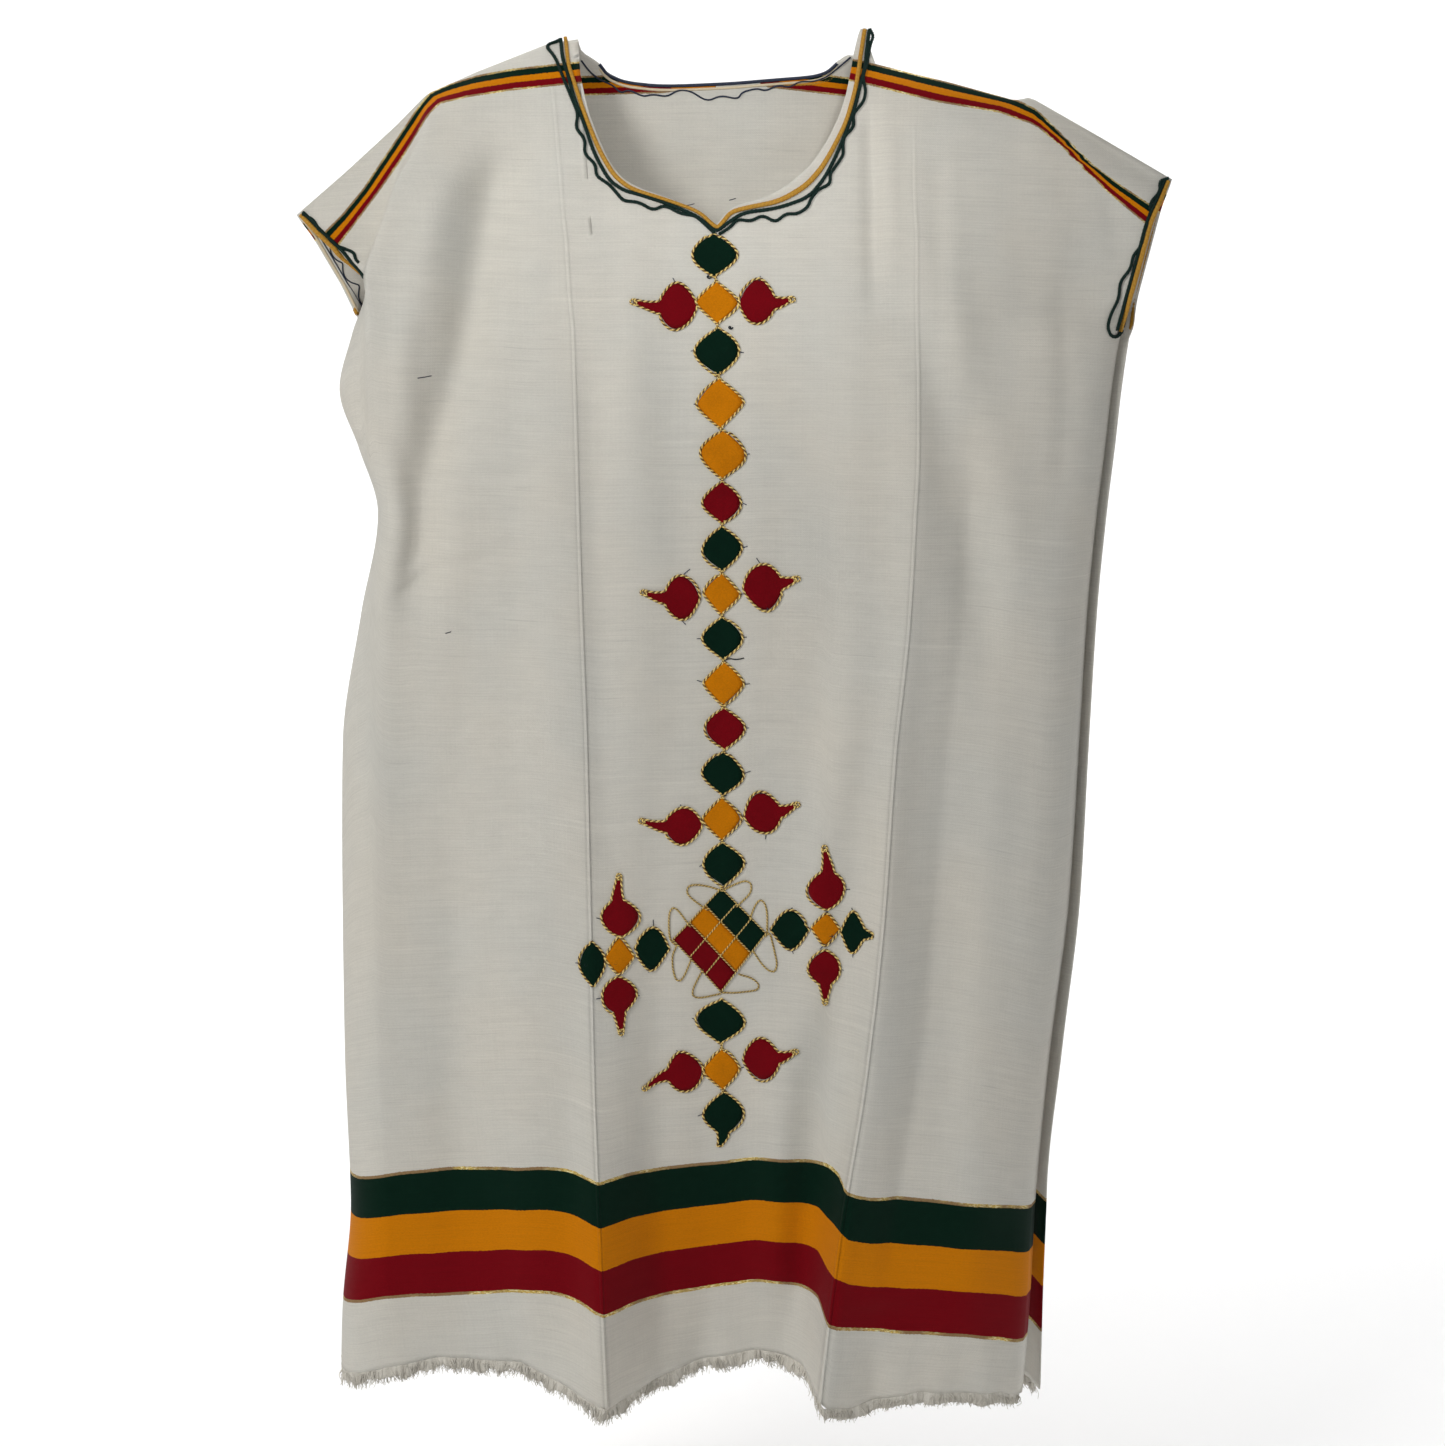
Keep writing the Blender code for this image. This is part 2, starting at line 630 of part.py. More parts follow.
def build_patches(tree):
    for patch in COLUMN_PATCHES + DROP_PATCHES + ARM_PATCHES:
        points, faces = wall(*patch_layers(patch, tree))
        solid(patch.name, points, faces, patch.colour)


def big_spot(along, across):
    """A spot of the large diamond, by its shares along the strips and across them."""
    upper = np.array(BIG_TOP) * (1 - along) + np.array(BIG_RIGHT) * along
    lower = np.array(BIG_LEFT) * (1 - along) + np.array(BIG_BOTTOM) * along
    return upper * (1 - across) + lower * across


def build_big_diamond(tree):
    """Three strips that fill one square on its corner, with a seam between each two."""
    for name, colour, start, end in BIG_STRIPS:
        spots = [
            [big_spot(along, across) for across in np.linspace(start, end, 4)]
            for along in np.linspace(0, 1, 8)
        ]
        points, faces = wall(*sewn_on(FRONT, tree, spots, np.full((8, 4), PATCH_THICK)))
        solid(name, points, faces, colour)


def ribbon(name, panel, tree, path, width, colour):
    """A flat trim of one width that lies on a panel along a path of x and z."""
    path = np.array(path, float)
    steps = np.gradient(path, axis=0)
    steps /= np.linalg.norm(steps, axis=1)[:, None]
    sides = np.stack([-steps[:, 1], steps[:, 0]], axis=1)
    spots = [[p - n * width / 2, p + n * width / 2] for p, n in zip(path, sides)]
    points, faces = wall(*sewn_on(panel, tree, spots, np.full((len(path), 2), TRIM_THICK)))
    return solid(name, points, faces, colour)


def neck_path(panel, away):
    """A line round one half of the neck hole, a distance inside the cloth from its edge.

    away is that distance at the hole's lowest point and at its ends: the turned-in edge shows
    wide at the sides of the neck and vanishes at the bottom.
    """
    edge = np.array(neck_edge(panel))
    runs = np.linalg.norm(np.diff(edge, axis=0), axis=1)
    marks = np.concatenate([[0], np.cumsum(runs)])
    spans = 36 if panel.side == "front" else 26
    at = np.linspace(2.0, marks[-1] - 2.0, spans)
    path = np.stack([np.interp(at, marks, edge[:, 0]), np.interp(at, marks, edge[:, 1])], axis=1)
    steps = np.gradient(path, axis=0)
    steps /= np.linalg.norm(steps, axis=1)[:, None]
    below = np.stack([steps[:, 1], -steps[:, 0]], axis=1)
    shares = np.abs(2 * at / marks[-1] - 1)
    return path + below * (away[0] + (away[1] - away[0]) * shares**2)[:, None]


def cuff_path(cuff, away):
    """A line along an arm's open edge, a distance inside the cloth from it."""
    ends = [np.array(cuff[0], float), np.array(cuff[-1], float)]
    toward = 1 if ends[0][0] < 0 else -1
    marks = np.linspace(0.04, 0.96, 8)
    path = []
    for s in marks:
        at = s * (len(cuff) - 1)
        k = min(int(at), len(cuff) - 2)
        low, high = np.array(cuff[k], float), np.array(cuff[k + 1], float)
        spot = low + (high - low) * (at - k)
        run = (ends[1] - ends[0]) / np.linalg.norm(ends[1] - ends[0])
        path.append(spot + np.array([-run[1], run[0]]) * toward * abs(away))
    return path


def build_trims(trees):
    braid_away = (BRAID_WIDTH / 2 + 1.4, BRAID_WIDTH / 2 + 7.0)
    cord_away = (braid_away[0] + 3.2, braid_away[1] + 3.2)
    for panel, tree in trees:
        braid = neck_path(panel, braid_away)
        cord = neck_path(panel, cord_away)
        ribbon(f"neck_braid_{panel.side}", panel, tree, braid, BRAID_WIDTH, "lurex")
        ribbon(f"neck_cord_{panel.side}", panel, tree, cord, CORD_WIDTH, "green")
        for side, cuff in (("left", panel.cuff_left), ("right", panel.cuff_right)):
            braid = cuff_path(cuff, BRAID_WIDTH / 2 + 0.8)
            cord = cuff_path(cuff, BRAID_WIDTH / 2 + 4.2)
            name = f"{panel.side}_{side}"
            ribbon(f"cuff_braid_{name}", panel, tree, braid, BRAID_WIDTH, "lurex")
            ribbon(f"cuff_cord_{name}", panel, tree, cord, CORD_WIDTH, "green")


def build_fringe(panel):
    """Locks of loose warp under the hem, hanging from a narrow strip parted from its edge."""
    hem = [tuple(spot) for spot in panel_outline_grid(panel)[-1]]
    cells = 2 * LOCKS - 1
    points, faces = [], []
    for x in np.linspace(hem[0][0] + 2, hem[-1][0] - 2, cells + 1):
        hem_z = straight_line(hem, x)
        foot, normal = surface_point(panel, x, hem_z), outward(panel, x, hem_z)
        normal[2] = 0
        normal /= np.linalg.norm(normal)
        for drop in (STRIP_GAP, STRIP_GAP + STRIP_HEIGHT):
            for side in (0.5, -0.5):
                points.append(foot + normal * WALL * side - np.array([0, 0, drop]))
    for k in range(cells):
        a, b = 4 * k, 4 * (k + 1)
        faces.append([a, b, b + 2, a + 2])
        faces.append([a + 1, a + 3, b + 3, b + 1])
        faces.append([a, a + 1, b + 1, b])
        bottom = [a + 2, b + 2, b + 3, a + 3]
        if k % 2:
            faces.append(bottom)
            continue
        drift = 2.2 * math.sin(1.7 * k) + 1.1 * math.sin(4.1 * k)
        length = LOCK_LENGTH * (0.86 + 0.14 * math.sin(2.3 * k))
        roots = [points[i] for i in bottom]
        middle = sum(roots) / 4
        tip = len(points)
        for root in roots:
            points.append(middle + (root - middle) * 0.35 + np.array([drift, 0, -length]))
        for i in range(4):
            j = (i + 1) % 4
            faces.append([bottom[i], bottom[j], tip + j, tip + i])
        faces.append([tip, tip + 1, tip + 2, tip + 3])
    faces.append([0, 2, 3, 1])
    last = 4 * cells
    faces.append([last, last + 1, last + 3, last + 2])
    return solid(f"{panel.side}_fringe", np.array(points), faces, "cotton")


def main():
    for obj in list(bpy.data.objects):
        bpy.data.objects.remove(obj)
    trees = []
    for panel in (FRONT, BACK):
        trees.append((panel, build_panel(panel)))
        build_fringe(panel)
    build_patches(trees[0][1])
    build_big_diamond(trees[0][1])
    build_trims(trees)


main()
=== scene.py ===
"""The looks of a hand-woven cotton dress that hangs from its shoulders.

Lengths in the tables are millimetres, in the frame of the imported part: X to the viewer's right,
Y away from the viewer, Z up. The panels repeat the part's surface on a finer grid, with the
softer folds added, and all that is sewn on them is placed on that surface.
"""

import math
from collections import namedtuple

import bpy
import numpy as np
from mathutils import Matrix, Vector


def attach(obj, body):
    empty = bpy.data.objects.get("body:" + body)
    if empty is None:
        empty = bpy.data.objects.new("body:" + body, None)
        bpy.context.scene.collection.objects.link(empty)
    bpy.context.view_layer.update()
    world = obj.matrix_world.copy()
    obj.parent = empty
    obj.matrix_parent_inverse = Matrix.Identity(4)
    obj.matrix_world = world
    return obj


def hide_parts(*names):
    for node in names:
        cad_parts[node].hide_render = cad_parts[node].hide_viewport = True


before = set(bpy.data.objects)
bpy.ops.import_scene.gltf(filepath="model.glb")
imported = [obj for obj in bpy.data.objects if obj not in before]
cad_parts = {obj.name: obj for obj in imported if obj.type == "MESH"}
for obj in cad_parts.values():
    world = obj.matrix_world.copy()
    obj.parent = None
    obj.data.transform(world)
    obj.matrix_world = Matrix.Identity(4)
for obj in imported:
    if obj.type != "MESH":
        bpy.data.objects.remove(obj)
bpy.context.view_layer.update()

MM = 0.001
WALL = 1.2
SEAM_GAP = 0.3
LIFT = 0.3
CUFF_SHARE = 0.1
SLEEVE_ROWS, BODY_ROWS = 34, 204
NECK_LEFT, NECK_RIGHT = -106.0, 105.0

Lines = namedtuple("Lines", "z left roll crease_a crease_b right")
FRONT_LINES = [
    Lines(0, -324, -216, -128, 152, 350),
    Lines(-60, -324, -221, -122, 150, 350),
    Lines(-105, -324, -238, -118, 150, 350),
    Lines(-132, -324, -247, -116, 151, 337),
    Lines(-150, -305, -254, -114, 152, 332),
    Lines(-184, -269, -264, -112, 152, 324),
    Lines(-223, -282, -261, -109, 153, 313),
    Lines(-266, -293, -256, -108, 154, 307),
    Lines(-310, -279, -246, -107, 154, 303),
    Lines(-360, -265, -236, -106, 152, 298),
    Lines(-440, -280, -248, -104, 148, 292),
    Lines(-544, -297, -262, -101, 138, 288),
    Lines(-670, -300, -266, -99, 130, 283),
    Lines(-800, -301, -266, -97, 117, 270),
    Lines(-920, -299, -262, -93, 99, 261),
    Lines(-1010, -307, -264, -90, 88, 257),
    Lines(-1110, -311, -266, -86, 77, 251),
]
BACK_LINES = [
    Lines(0, -324, -216, -128, 152, 350),
    Lines(-105, -324, -225, -124, 148, 350),
    Lines(-132, -324, -228, -122, 148, 337),
    Lines(-212, -278, -236, -118, 149, 322),
    Lines(-266, -293, -250, -114, 150, 315),
    Lines(-310, -279, -243, -112, 150, 311),
    Lines(-360, -265, -236, -110, 149, 306),
    Lines(-440, -280, -246, -107, 147, 300),
    Lines(-544, -297, -258, -104, 143, 296),
    Lines(-670, -300, -262, -101, 136, 292),
    Lines(-800, -301, -262, -98, 128, 280),
    Lines(-920, -299, -258, -95, 118, 270),
    Lines(-1110, -311, -262, -92, 106, 269),
]

Depths = namedtuple("Depths", "drop roll crease_a middle crease_b flank")
FRONT_DEPTHS = [
    Depths(0, 0, 0, 0, 0, 0),
    Depths(12, 13, 11, 11, 11, 9),
    Depths(40, 30, 23, 20, 22, 17),
    Depths(90, 42, 35, 30, 34, 25),
    Depths(160, 46, 46, 40, 46, 33),
    Depths(280, 48, 58, 48, 58, 40),
    Depths(450, 50, 66, 53, 67, 45),
    Depths(650, 55, 76, 54, 78, 50),
    Depths(800, 58, 84, 50, 86, 56),
    Depths(900, 60, 92, 45, 93, 62),
    Depths(1000, 60, 101, 40, 101, 66),
    Depths(1100, 57, 112, 35, 111, 68),
]
BACK_DEPTHS = [
    Depths(0, 0, 0, 0, 0, 0),
    Depths(12, 11, 10, 9, 10, 10),
    Depths(40, 20, 20, 20, 20, 19),
    Depths(90, 28, 30, 28, 30, 27),
    Depths(160, 34, 38, 34, 39, 34),
    Depths(280, 40, 46, 40, 48, 41),
    Depths(450, 46, 54, 44, 57, 48),
    Depths(650, 52, 62, 48, 66, 55),
    Depths(850, 58, 70, 52, 74, 62),
    Depths(1000, 62, 78, 52, 82, 66),
    Depths(1100, 64, 84, 50, 88, 68),
]

SEAM = [
    (-324, -132), (-286, -101), (-243, -64), (-219, -41), (-181, -24), (-128, -3), (NECK_LEFT, 0),
    (NECK_RIGHT, -12), (121, -18), (152, -26), (178, -32), (230, -46), (240, -43), (294, -73),
    (350, -105),
]

FRONT_HEM = [
    (-311, -1061), (-266, -1048), (-224, -1041), (-158, -1043), (-88, -1066), (-30, -1055),
    (31, -1042), (70, -1047), (85, -1066), (106, -1072), (162, -1066), (229, -1076), (251, -1089),
]
BACK_HEM = [
    (-311, -1058), (-262, -1056), (-92, -1062), (10, -1054), (106, -1064), (200, -1076),
    (269, -1098),
]

FRONT_CUFF_LEFT = [(-324, -132), (-310, -145), (-296, -158), (-283, -171), (-269, -184)]
FRONT_CUFF_RIGHT = [(350, -105), (335, -136), (329, -162), (321, -193), (313, -223)]
BACK_CUFF_LEFT = [(-324, -132), (-313, -151), (-302, -170), (-290, -191), (-278, -212)]
BACK_CUFF_RIGHT = [(350, -105), (343, -134), (336, -163), (329, -192), (322, -222)]
CUFF_BULGE = {"front": 11.0, "back": 15.0}
SLIT_TOP, SLIT_SPREAD = -915.0, 9.0
LIP_TOP, LIP_FOOT, LIP_OUT = -70.0, -214.0, 7.0

# The woven colours: the upper and lower edges of the hem band and of the shoulder stripes, as x
# and z. Each of the three colours fills a third of the width between them.
FRONT_BAND = (
    [
        (-311, -899), (-294, -896), (-261, -888), (-228, -885), (-192, -883.5), (-160, -880.5),
        (-137, -878.6), (-114.5, -880), (-100, -883), (-93, -885), (-86, -884.3), (-70, -883.4),
        (-48, -884), (-3, -882), (37, -876), (63, -876.5), (88, -879.5), (97.5, -883.5),
        (102, -892), (130, -901), (170, -907.5), (215, -915.5), (263, -931),
    ],
    [
        (-311, -1003), (-290, -994), (-263, -987), (-229, -986.5), (-193, -984.8), (-161, -980.3),
        (-140, -978.6), (-115, -982), (-100.8, -985.5), (-92, -988.5), (-85, -988.8), (-70, -988),
        (-48, -988.5), (-24, -988.4), (8, -984), (38, -978), (63, -979.5), (80, -983), (89, -998),
        (114, -1005.5), (143, -1012), (179, -1017), (209, -1022.5), (257, -1040),
    ],
)
BACK_BAND = (
    [(-311, -899), (-92, -896), (10, -892), (106, -898), (200, -912), (269, -930)],
    [(-311, -1003), (-92, -1000), (10, -996), (106, -1002), (200, -1021), (269, -1044)],
)
BAND_HEIGHT = 102.0
FRONT_STRIPES = (
    (
        [
            (-90, -17.5), (-104, -18.5), (-155, -23.9), (-183, -28.7), (-204, -34.6), (-218, -40.4),
            (-228.4, -52), (-249, -82.3), (-269.7, -112.5), (-287, -132.8), (-304, -149),
            (-330, -174),
        ],
        [
            (-90, -31.5), (-107, -32.6), (-155, -37.5), (-189, -42.4), (-211, -47.3), (-219, -55),
            (-240, -86.5), (-259, -112.5), (-277, -135.5), (-292, -154.5), (-312, -176),
        ],
    ),
    (
        [
            (90, -14), (112, -18), (170, -31.6), (228, -46), (243, -53.6), (261, -71), (281.4, -91),
            (304.6, -108.3), (332, -125.4), (356, -140),
        ],
        [
            (90, -28.5), (110, -32), (169, -46.3), (215, -53.5), (243, -63.3), (261, -76.5),
            (281.4, -95.8), (302, -115), (329, -137), (352, -155),
        ],
    ),
)
BACK_STRIPES = (
    (
        [(-40, -26), (-72, -27), (-104, -28), (-181, -40), (-219, -56), (-286, -112), (-333, -150)],
        [(-40, -38), (-72, -39), (-104, -40), (-179, -52), (-213, -67), (-278, -122), (-326, -162)],
    ),
    (
        [(40, -22), (63, -24.5), (103, -29.5), (178, -44), (240, -55), (294, -84), (350, -118)],
        [(40, -34), (63, -36.5), (103, -41), (178, -56), (237, -67), (289, -95), (344, -130)],
    ),
)
STRIPE_WIDTH = 14.0

# The pressed creases' upper ends, and the height below which they are at their sharpest.
CREASE_TOPS = (("ridge_a", -40.0), ("ridge_b", -90.0))
CREASE_FULL_Z = -620.0

# The edge of the neck, from the left shoulder seam round to the right one.
FRONT_NECK = [
    (-106, 0), (-105.4, -18), (-100.5, -42), (-96.5, -57), (-91, -71), (-82.5, -90), (-73, -103),
    (-60, -111), (-36, -119), (-18, -126.5), (-8, -134), (-0.8, -140.6), (5, -132.5), (14, -124.5),
    (36.6, -118.5), (54.6, -109), (73, -93), (85, -75), (93, -59), (98.6, -43), (103.4, -20),
    (105, -12),
]
BACK_NECK = [
    (-106, 0), (-104, -9), (-97, -13), (-90, -17.5), (-84.5, -25), (-71, -31), (-42, -34),
    (10, -32), (40, -29.5), (74, -27), (85, -23.5), (92, -17), (101, -11), (105, -12),
]
# The corner of the neck that stands above the right shoulder seam.
NECK_CORNER = [(106.4, -6), (108.2, 1.5), (110.2, 8), (113, 8.8), (116.5, 8), (117.6, 1), (118, -7)]

# Where the columns of points meet the shoulder seams beside the neck.
NEAR_NECK_LEFT = (-124.0, -120.0, -116.0, -112.0)
NEAR_NECK_RIGHT = (122.0, 127.0, 132.0, 137.0, 142.0, 147.0)

# Soft folds: how far each stands out (or in, if negative), its half width, the shares of its
# length over which it fades in and out, and the spots it runs through.
Fold = namedtuple("Fold", "height width fade_in fade_out spots")
FRONT_FOLDS = [
    Fold(
        -16.5, 20, 0.15, 0.2,
        [
            (-150, -60), (-173, -117), (-182, -171), (-194, -228), (-212, -286), (-227, -343),
            (-231, -393), (-246, -470),
        ],
    ),
    Fold(3.5, 11, 0.3, 0.4, [(-232, -190), (-240, -250), (-232, -330)]),
    Fold(1.6, 4.5, 0.3, 0.3, [(-262, -424), (-221, -394), (-160, -378)]),
    Fold(-1.5, 6, 0.3, 0.3, [(-262, -432), (-221, -404), (-160, -388)]),
    Fold(-6.5, 17, 0.2, 0.3, [(-99, -190), (-94, -440), (-96, -660)]),
    Fold(-5.5, 20, 0.3, 0.05, [(-98, -560), (-106, -740), (-110, -900), (-110, -1010)]),
    Fold(
        8.0, 20, 0.3, 0.05,
        [(106, -400), (99, -516), (80, -631), (72, -747), (59, -804), (46, -1000)],
    ),
    Fold(4.0, 15, 0.3, 0.5, [(-190, -60), (-217, -140), (-240, -225), (-250, -300)]),
    Fold(-3.0, 10, 0.3, 0.5, [(-140, -40), (-150, -130), (-160, -230)]),
    Fold(
        -6.0, 20, 0.25, 0.3,
        [(126, -150), (154, -228), (173, -286), (182, -343), (196, -401), (209, -459), (222, -530)],
    ),
    Fold(
        5.0, 20, 0.3, 0.4,
        [(160, -120), (168, -171), (188, -228), (203, -286), (218, -343), (233, -401), (240, -480)],
    ),
    Fold(-3.0, 6, 0.2, 0.5, [(115, -40), (117, -140), (120, -240)]),
    Fold(2.4, 6, 0.2, 0.5, [(129, -40), (133, -140), (134, -220)]),
    Fold(-2.2, 7, 0.3, 0.5, [(166, -45), (168, -150), (176, -260)]),
    Fold(-4.5, 28, 0.4, 0.3, [(-205, -420), (-212, -600), (-204, -820), (-196, -1000)]),
    Fold(3.5, 22, 0.4, 0.1, [(-160, -560), (-158, -800), (-150, -1060)]),
    Fold(-2.0, 12, 0.4, 0.1, [(-120, -700), (-118, -860), (-116, -1060)]),
    Fold(3.0, 20, 0.5, 0.1, [(40, -640), (44, -850), (42, -1050)]),
    Fold(-3.0, 18, 0.4, 0.1, [(-40, -620), (-46, -850), (-44, -1060)]),
    Fold(4.5, 24, 0.3, 0.05, [(150, -620), (142, -800), (130, -1000)]),
    Fold(2.0, 22, 0.4, 0.1, [(226, -560), (215, -800), (205, -1070)]),
    Fold(-2.5, 9, 0.3, 0.4, [(262, -150), (268, -260), (262, -380)]),
    Fold(2.0, 14, 0.4, 0.5, [(-70, -150), (-66, -260), (-60, -400)]),
    Fold(-1.6, 16, 0.4, 0.5, [(60, -150), (70, -280), (72, -420)]),
    Fold(-1.3, 5, 0.3, 0.4, [(-236, -70), (-262, -110), (-292, -142)]),
    Fold(1.6, 6, 0.3, 0.4, [(-228, -90), (-250, -130), (-272, -164)]),
    Fold(-1.5, 7, 0.4, 0.4, [(290, -90), (308, -150), (306, -210)]),
]
BACK_FOLDS = [
    Fold(-6.0, 24, 0.3, 0.4, [(-130, -60), (-170, -150), (-205, -260), (-214, -420)]),
    Fold(3.5, 16, 0.3, 0.5, [(-196, -80), (-222, -190), (-236, -330)]),
    Fold(-4.0, 16, 0.3, 0.4, [(-60, -80), (-66, -260), (-70, -520)]),
    Fold(3.0, 18, 0.4, 0.4, [(0, -90), (4, -300), (2, -620)]),
    Fold(-4.0, 18, 0.3, 0.4, [(70, -70), (76, -240), (80, -480)]),
    Fold(-6.0, 24, 0.3, 0.4, [(150, -70), (190, -180), (222, -300), (230, -470)]),
    Fold(3.5, 16, 0.3, 0.4, [(232, -90), (256, -220), (258, -400)]),
    Fold(-5.0, 30, 0.4, 0.1, [(-196, -520), (-192, -800), (-186, -1050)]),
    Fold(4.0, 24, 0.4, 0.1, [(-40, -620), (-34, -850), (-30, -1050)]),
    Fold(-4.0, 22, 0.4, 0.1, [(30, -640), (40, -850), (44, -1060)]),
    Fold(5.0, 26, 0.4, 0.1, [(190, -560), (186, -800), (180, -1070)]),
]

Panel = namedtuple(
    "Panel",
    "side lines depths hem cuff_left cuff_right neck splits folds band stripes phase",
)


class Curve:
    """The smooth line through points that never overshoots them, for many places at once."""

    def __init__(self, points):
        self.at = np.array([p[0] for p in points], float)
        self.values = np.array([p[1] for p in points], float)
        slopes = np.diff(self.values) / np.diff(self.at)
        before, after = slopes[:-1], slopes[1:]
        total = np.where(before + after == 0, 1, before + after)
        inner = np.where(before * after <= 0, 0, 2 * before * after / total)
        self.slopes = np.concatenate([slopes[:1], inner, slopes[-1:]])

    def __call__(self, at):
        at = np.clip(at, self.at[0], self.at[-1])
        k = np.clip(np.searchsorted(self.at, at) - 1, 0, len(self.at) - 2)
        width = self.at[k + 1] - self.at[k]
        u = (at - self.at[k]) / width
        return (
            self.values[k] * (1 + 2 * u) * (1 - u) ** 2
            + self.values[k + 1] * u * u * (3 - 2 * u)
            + width * self.slopes[k] * u * (1 - u) ** 2
            + width * self.slopes[k + 1] * u * u * (u - 1)
        )


def columns(table, key):
    """One curve over the key for each other column of a table."""
    rows = sorted(table, key=lambda row: getattr(row, key))
    names = [name for name in rows[0]._fields if name != key]
    return {n: Curve([(getattr(r, key), getattr(r, n)) for r in rows]) for n in names}


FRONT = Panel(
    "front", columns(FRONT_LINES, "z"), columns(FRONT_DEPTHS, "drop"), FRONT_HEM,
    FRONT_CUFF_LEFT, FRONT_CUFF_RIGHT, FRONT_NECK, (28, 28, 32), FRONT_FOLDS,
    [Curve(edge) for edge in FRONT_BAND], FRONT_STRIPES, 0.0,
)
BACK = Panel(
    "back", columns(BACK_LINES, "z"), columns(BACK_DEPTHS, "drop"), BACK_HEM,
    BACK_CUFF_LEFT, BACK_CUFF_RIGHT, BACK_NECK, (20, 22, 26), BACK_FOLDS,
    [Curve(edge) for edge in BACK_BAND], BACK_STRIPES, 2.1,
)
LINE_NAMES = ("left", "roll", "crease_a", "crease_b", "right")


def broken(points, at):
    """The height at each x of the straight runs between points."""
    return np.interp(at, [p[0] for p in points], [p[1] for p in points])


def ease(u):
    u = np.clip(u, 0.0, 1.0)
    return u * u * (3 - 2 * u)


def bow(u, power):
    u = np.clip(u, 0.0, 1.0)
    return (1 - (1 - u) ** power) ** (1 / power)


def from_path(spots, x, z):
    """How far each x and z is from a path, on which side, and the share of the path there."""
    spots = np.array(spots, float)
    lengths = np.linalg.norm(np.diff(spots, axis=0), axis=1)
    marks = np.concatenate([[0], np.cumsum(lengths)]) / lengths.sum()
    best = np.full(np.shape(x), 1e9)
    signed, share = np.zeros(np.shape(x)), np.zeros(np.shape(x))
    for k in range(len(lengths)):
        run = (spots[k + 1] - spots[k]) / lengths[k]
        ox, oz = x - spots[k][0], z - spots[k][1]
        along = np.clip(ox * run[0] + oz * run[1], 0, lengths[k])
        dx, dz = ox - run[0] * along, oz - run[1] * along
        away = np.hypot(dx, dz)
        side = np.where(run[0] * dz - run[1] * dx >= 0, 1.0, -1.0)
        nearer = away < best
        best = np.where(nearer, away, best)
        signed = np.where(nearer, away * side, signed)
        share = np.where(nearer, marks[k] + (marks[k + 1] - marks[k]) * along / lengths[k], share)
    return best, signed, share


def base_depth(panel, x, z):
    """The part's surface, crisper at its folds: how far it stands out from the seams' plane."""
    left, roll, crease_a, crease_b, right = (panel.lines[n](z) for n in LINE_NAMES)
    drop = np.maximum(broken(SEAM, x) - z, 0.0)
    out = {n: curve(drop) for n, curve in panel.depths.items()}
    bulge = CUFF_BULGE[panel.side] * ease(drop / 30)

    share = (x - left) / (roll - left)
    body = out["roll"] * bow(share, 2.2)
    step = ease((x - roll + 7) / 7) if panel.side == "front" else ease(share)
    sleeve = bulge + (out["roll"] - bulge) * step
    side_left = body + (sleeve - body) * ease((z - panel.cuff_left[-1][1]) / 30)

    share = np.clip((x - roll) / (crease_a - roll), 0, 1)
    sag = 5.0 * np.sin(math.pi * share) * ease(drop / 160)
    power = 1.4 + (1.6 * ease((-600 - z) / 380) if panel.side == "front" else 0.0)
    body_left = out["roll"] + (out["crease_a"] - out["roll"]) * share**power - sag

    share = np.clip((x - crease_a) / (crease_b - crease_a), 0, 1)
    pull_a = np.clip(1 - 2 * share, 0, 1) ** 1.9
    crisp = ease((-500 - z) / 400) if panel.side == "front" else 0.0
    pull_b = np.clip(2 * share - 1, 0, 1) ** (3.0 + 3.0 * crisp)
    middle = (
        out["middle"]
        + (out["crease_a"] - out["middle"]) * pull_a
        + (out["crease_b"] - out["middle"]) * pull_b
    )

    share = np.clip((x - crease_b) / (right - crease_b), 0, 1)
    near = out["crease_b"] + (out["flank"] - out["crease_b"]) * np.clip(2 * share, 0, 1) ** 0.8
    if panel.side == "front":
        turned = np.clip((x - crease_b) / 42, 0, 1)
        close = out["crease_b"] + (out["flank"] - out["crease_b"]) * turned
        near = near + (close - near) * ease((-180 - z) / 120) * (1 - 0.6 * ease((-900 - z) / 120))
    flank = np.where(share < 0.5, near, out["flank"] * bow(2 - 2 * share, 1.7))
    opening = ease((z - panel.cuff_right[-1][1]) / 30) * ease((share - 0.3) / 0.7)
    side_right = flank + (bulge - flank) * opening

    depth = np.where(
        x <= roll,
        side_left,
        np.where(x <= crease_a, body_left, np.where(x <= crease_b, middle, side_right)),
    )
    edge = np.minimum(np.abs(x - left), np.abs(x - right))
    slit = SLIT_SPREAD * ease((SLIT_TOP - z) / 120) * ease(1 - edge / 50)
    return np.maximum(depth, 0.0) + slit, edge, drop


def unevenness(panel, x, z):
    """The small slackness of hand-woven cloth: long along the warp, with a little across it."""
    p = panel.phase
    wander = 9 * np.sin(z / 190 + p)
    return (
        0.9 * np.sin((x + wander) / 21 + 0.8 * np.sin(z / 150) + p)
        + 0.6 * np.sin((x - wander) / 12.5 + z / 420 + 2 * p)
        + 0.35 * np.sin((x + 2 * wander) / 6.3 + z / 260 + 1.3)
        + 0.5 * np.sin(z / 36 + x / 130 + 0.7 * np.sin(x / 60) + p)
        + 0.25 * np.sin(z / 14 + x / 70 + 2 * np.sin(x / 90 + p))
    )


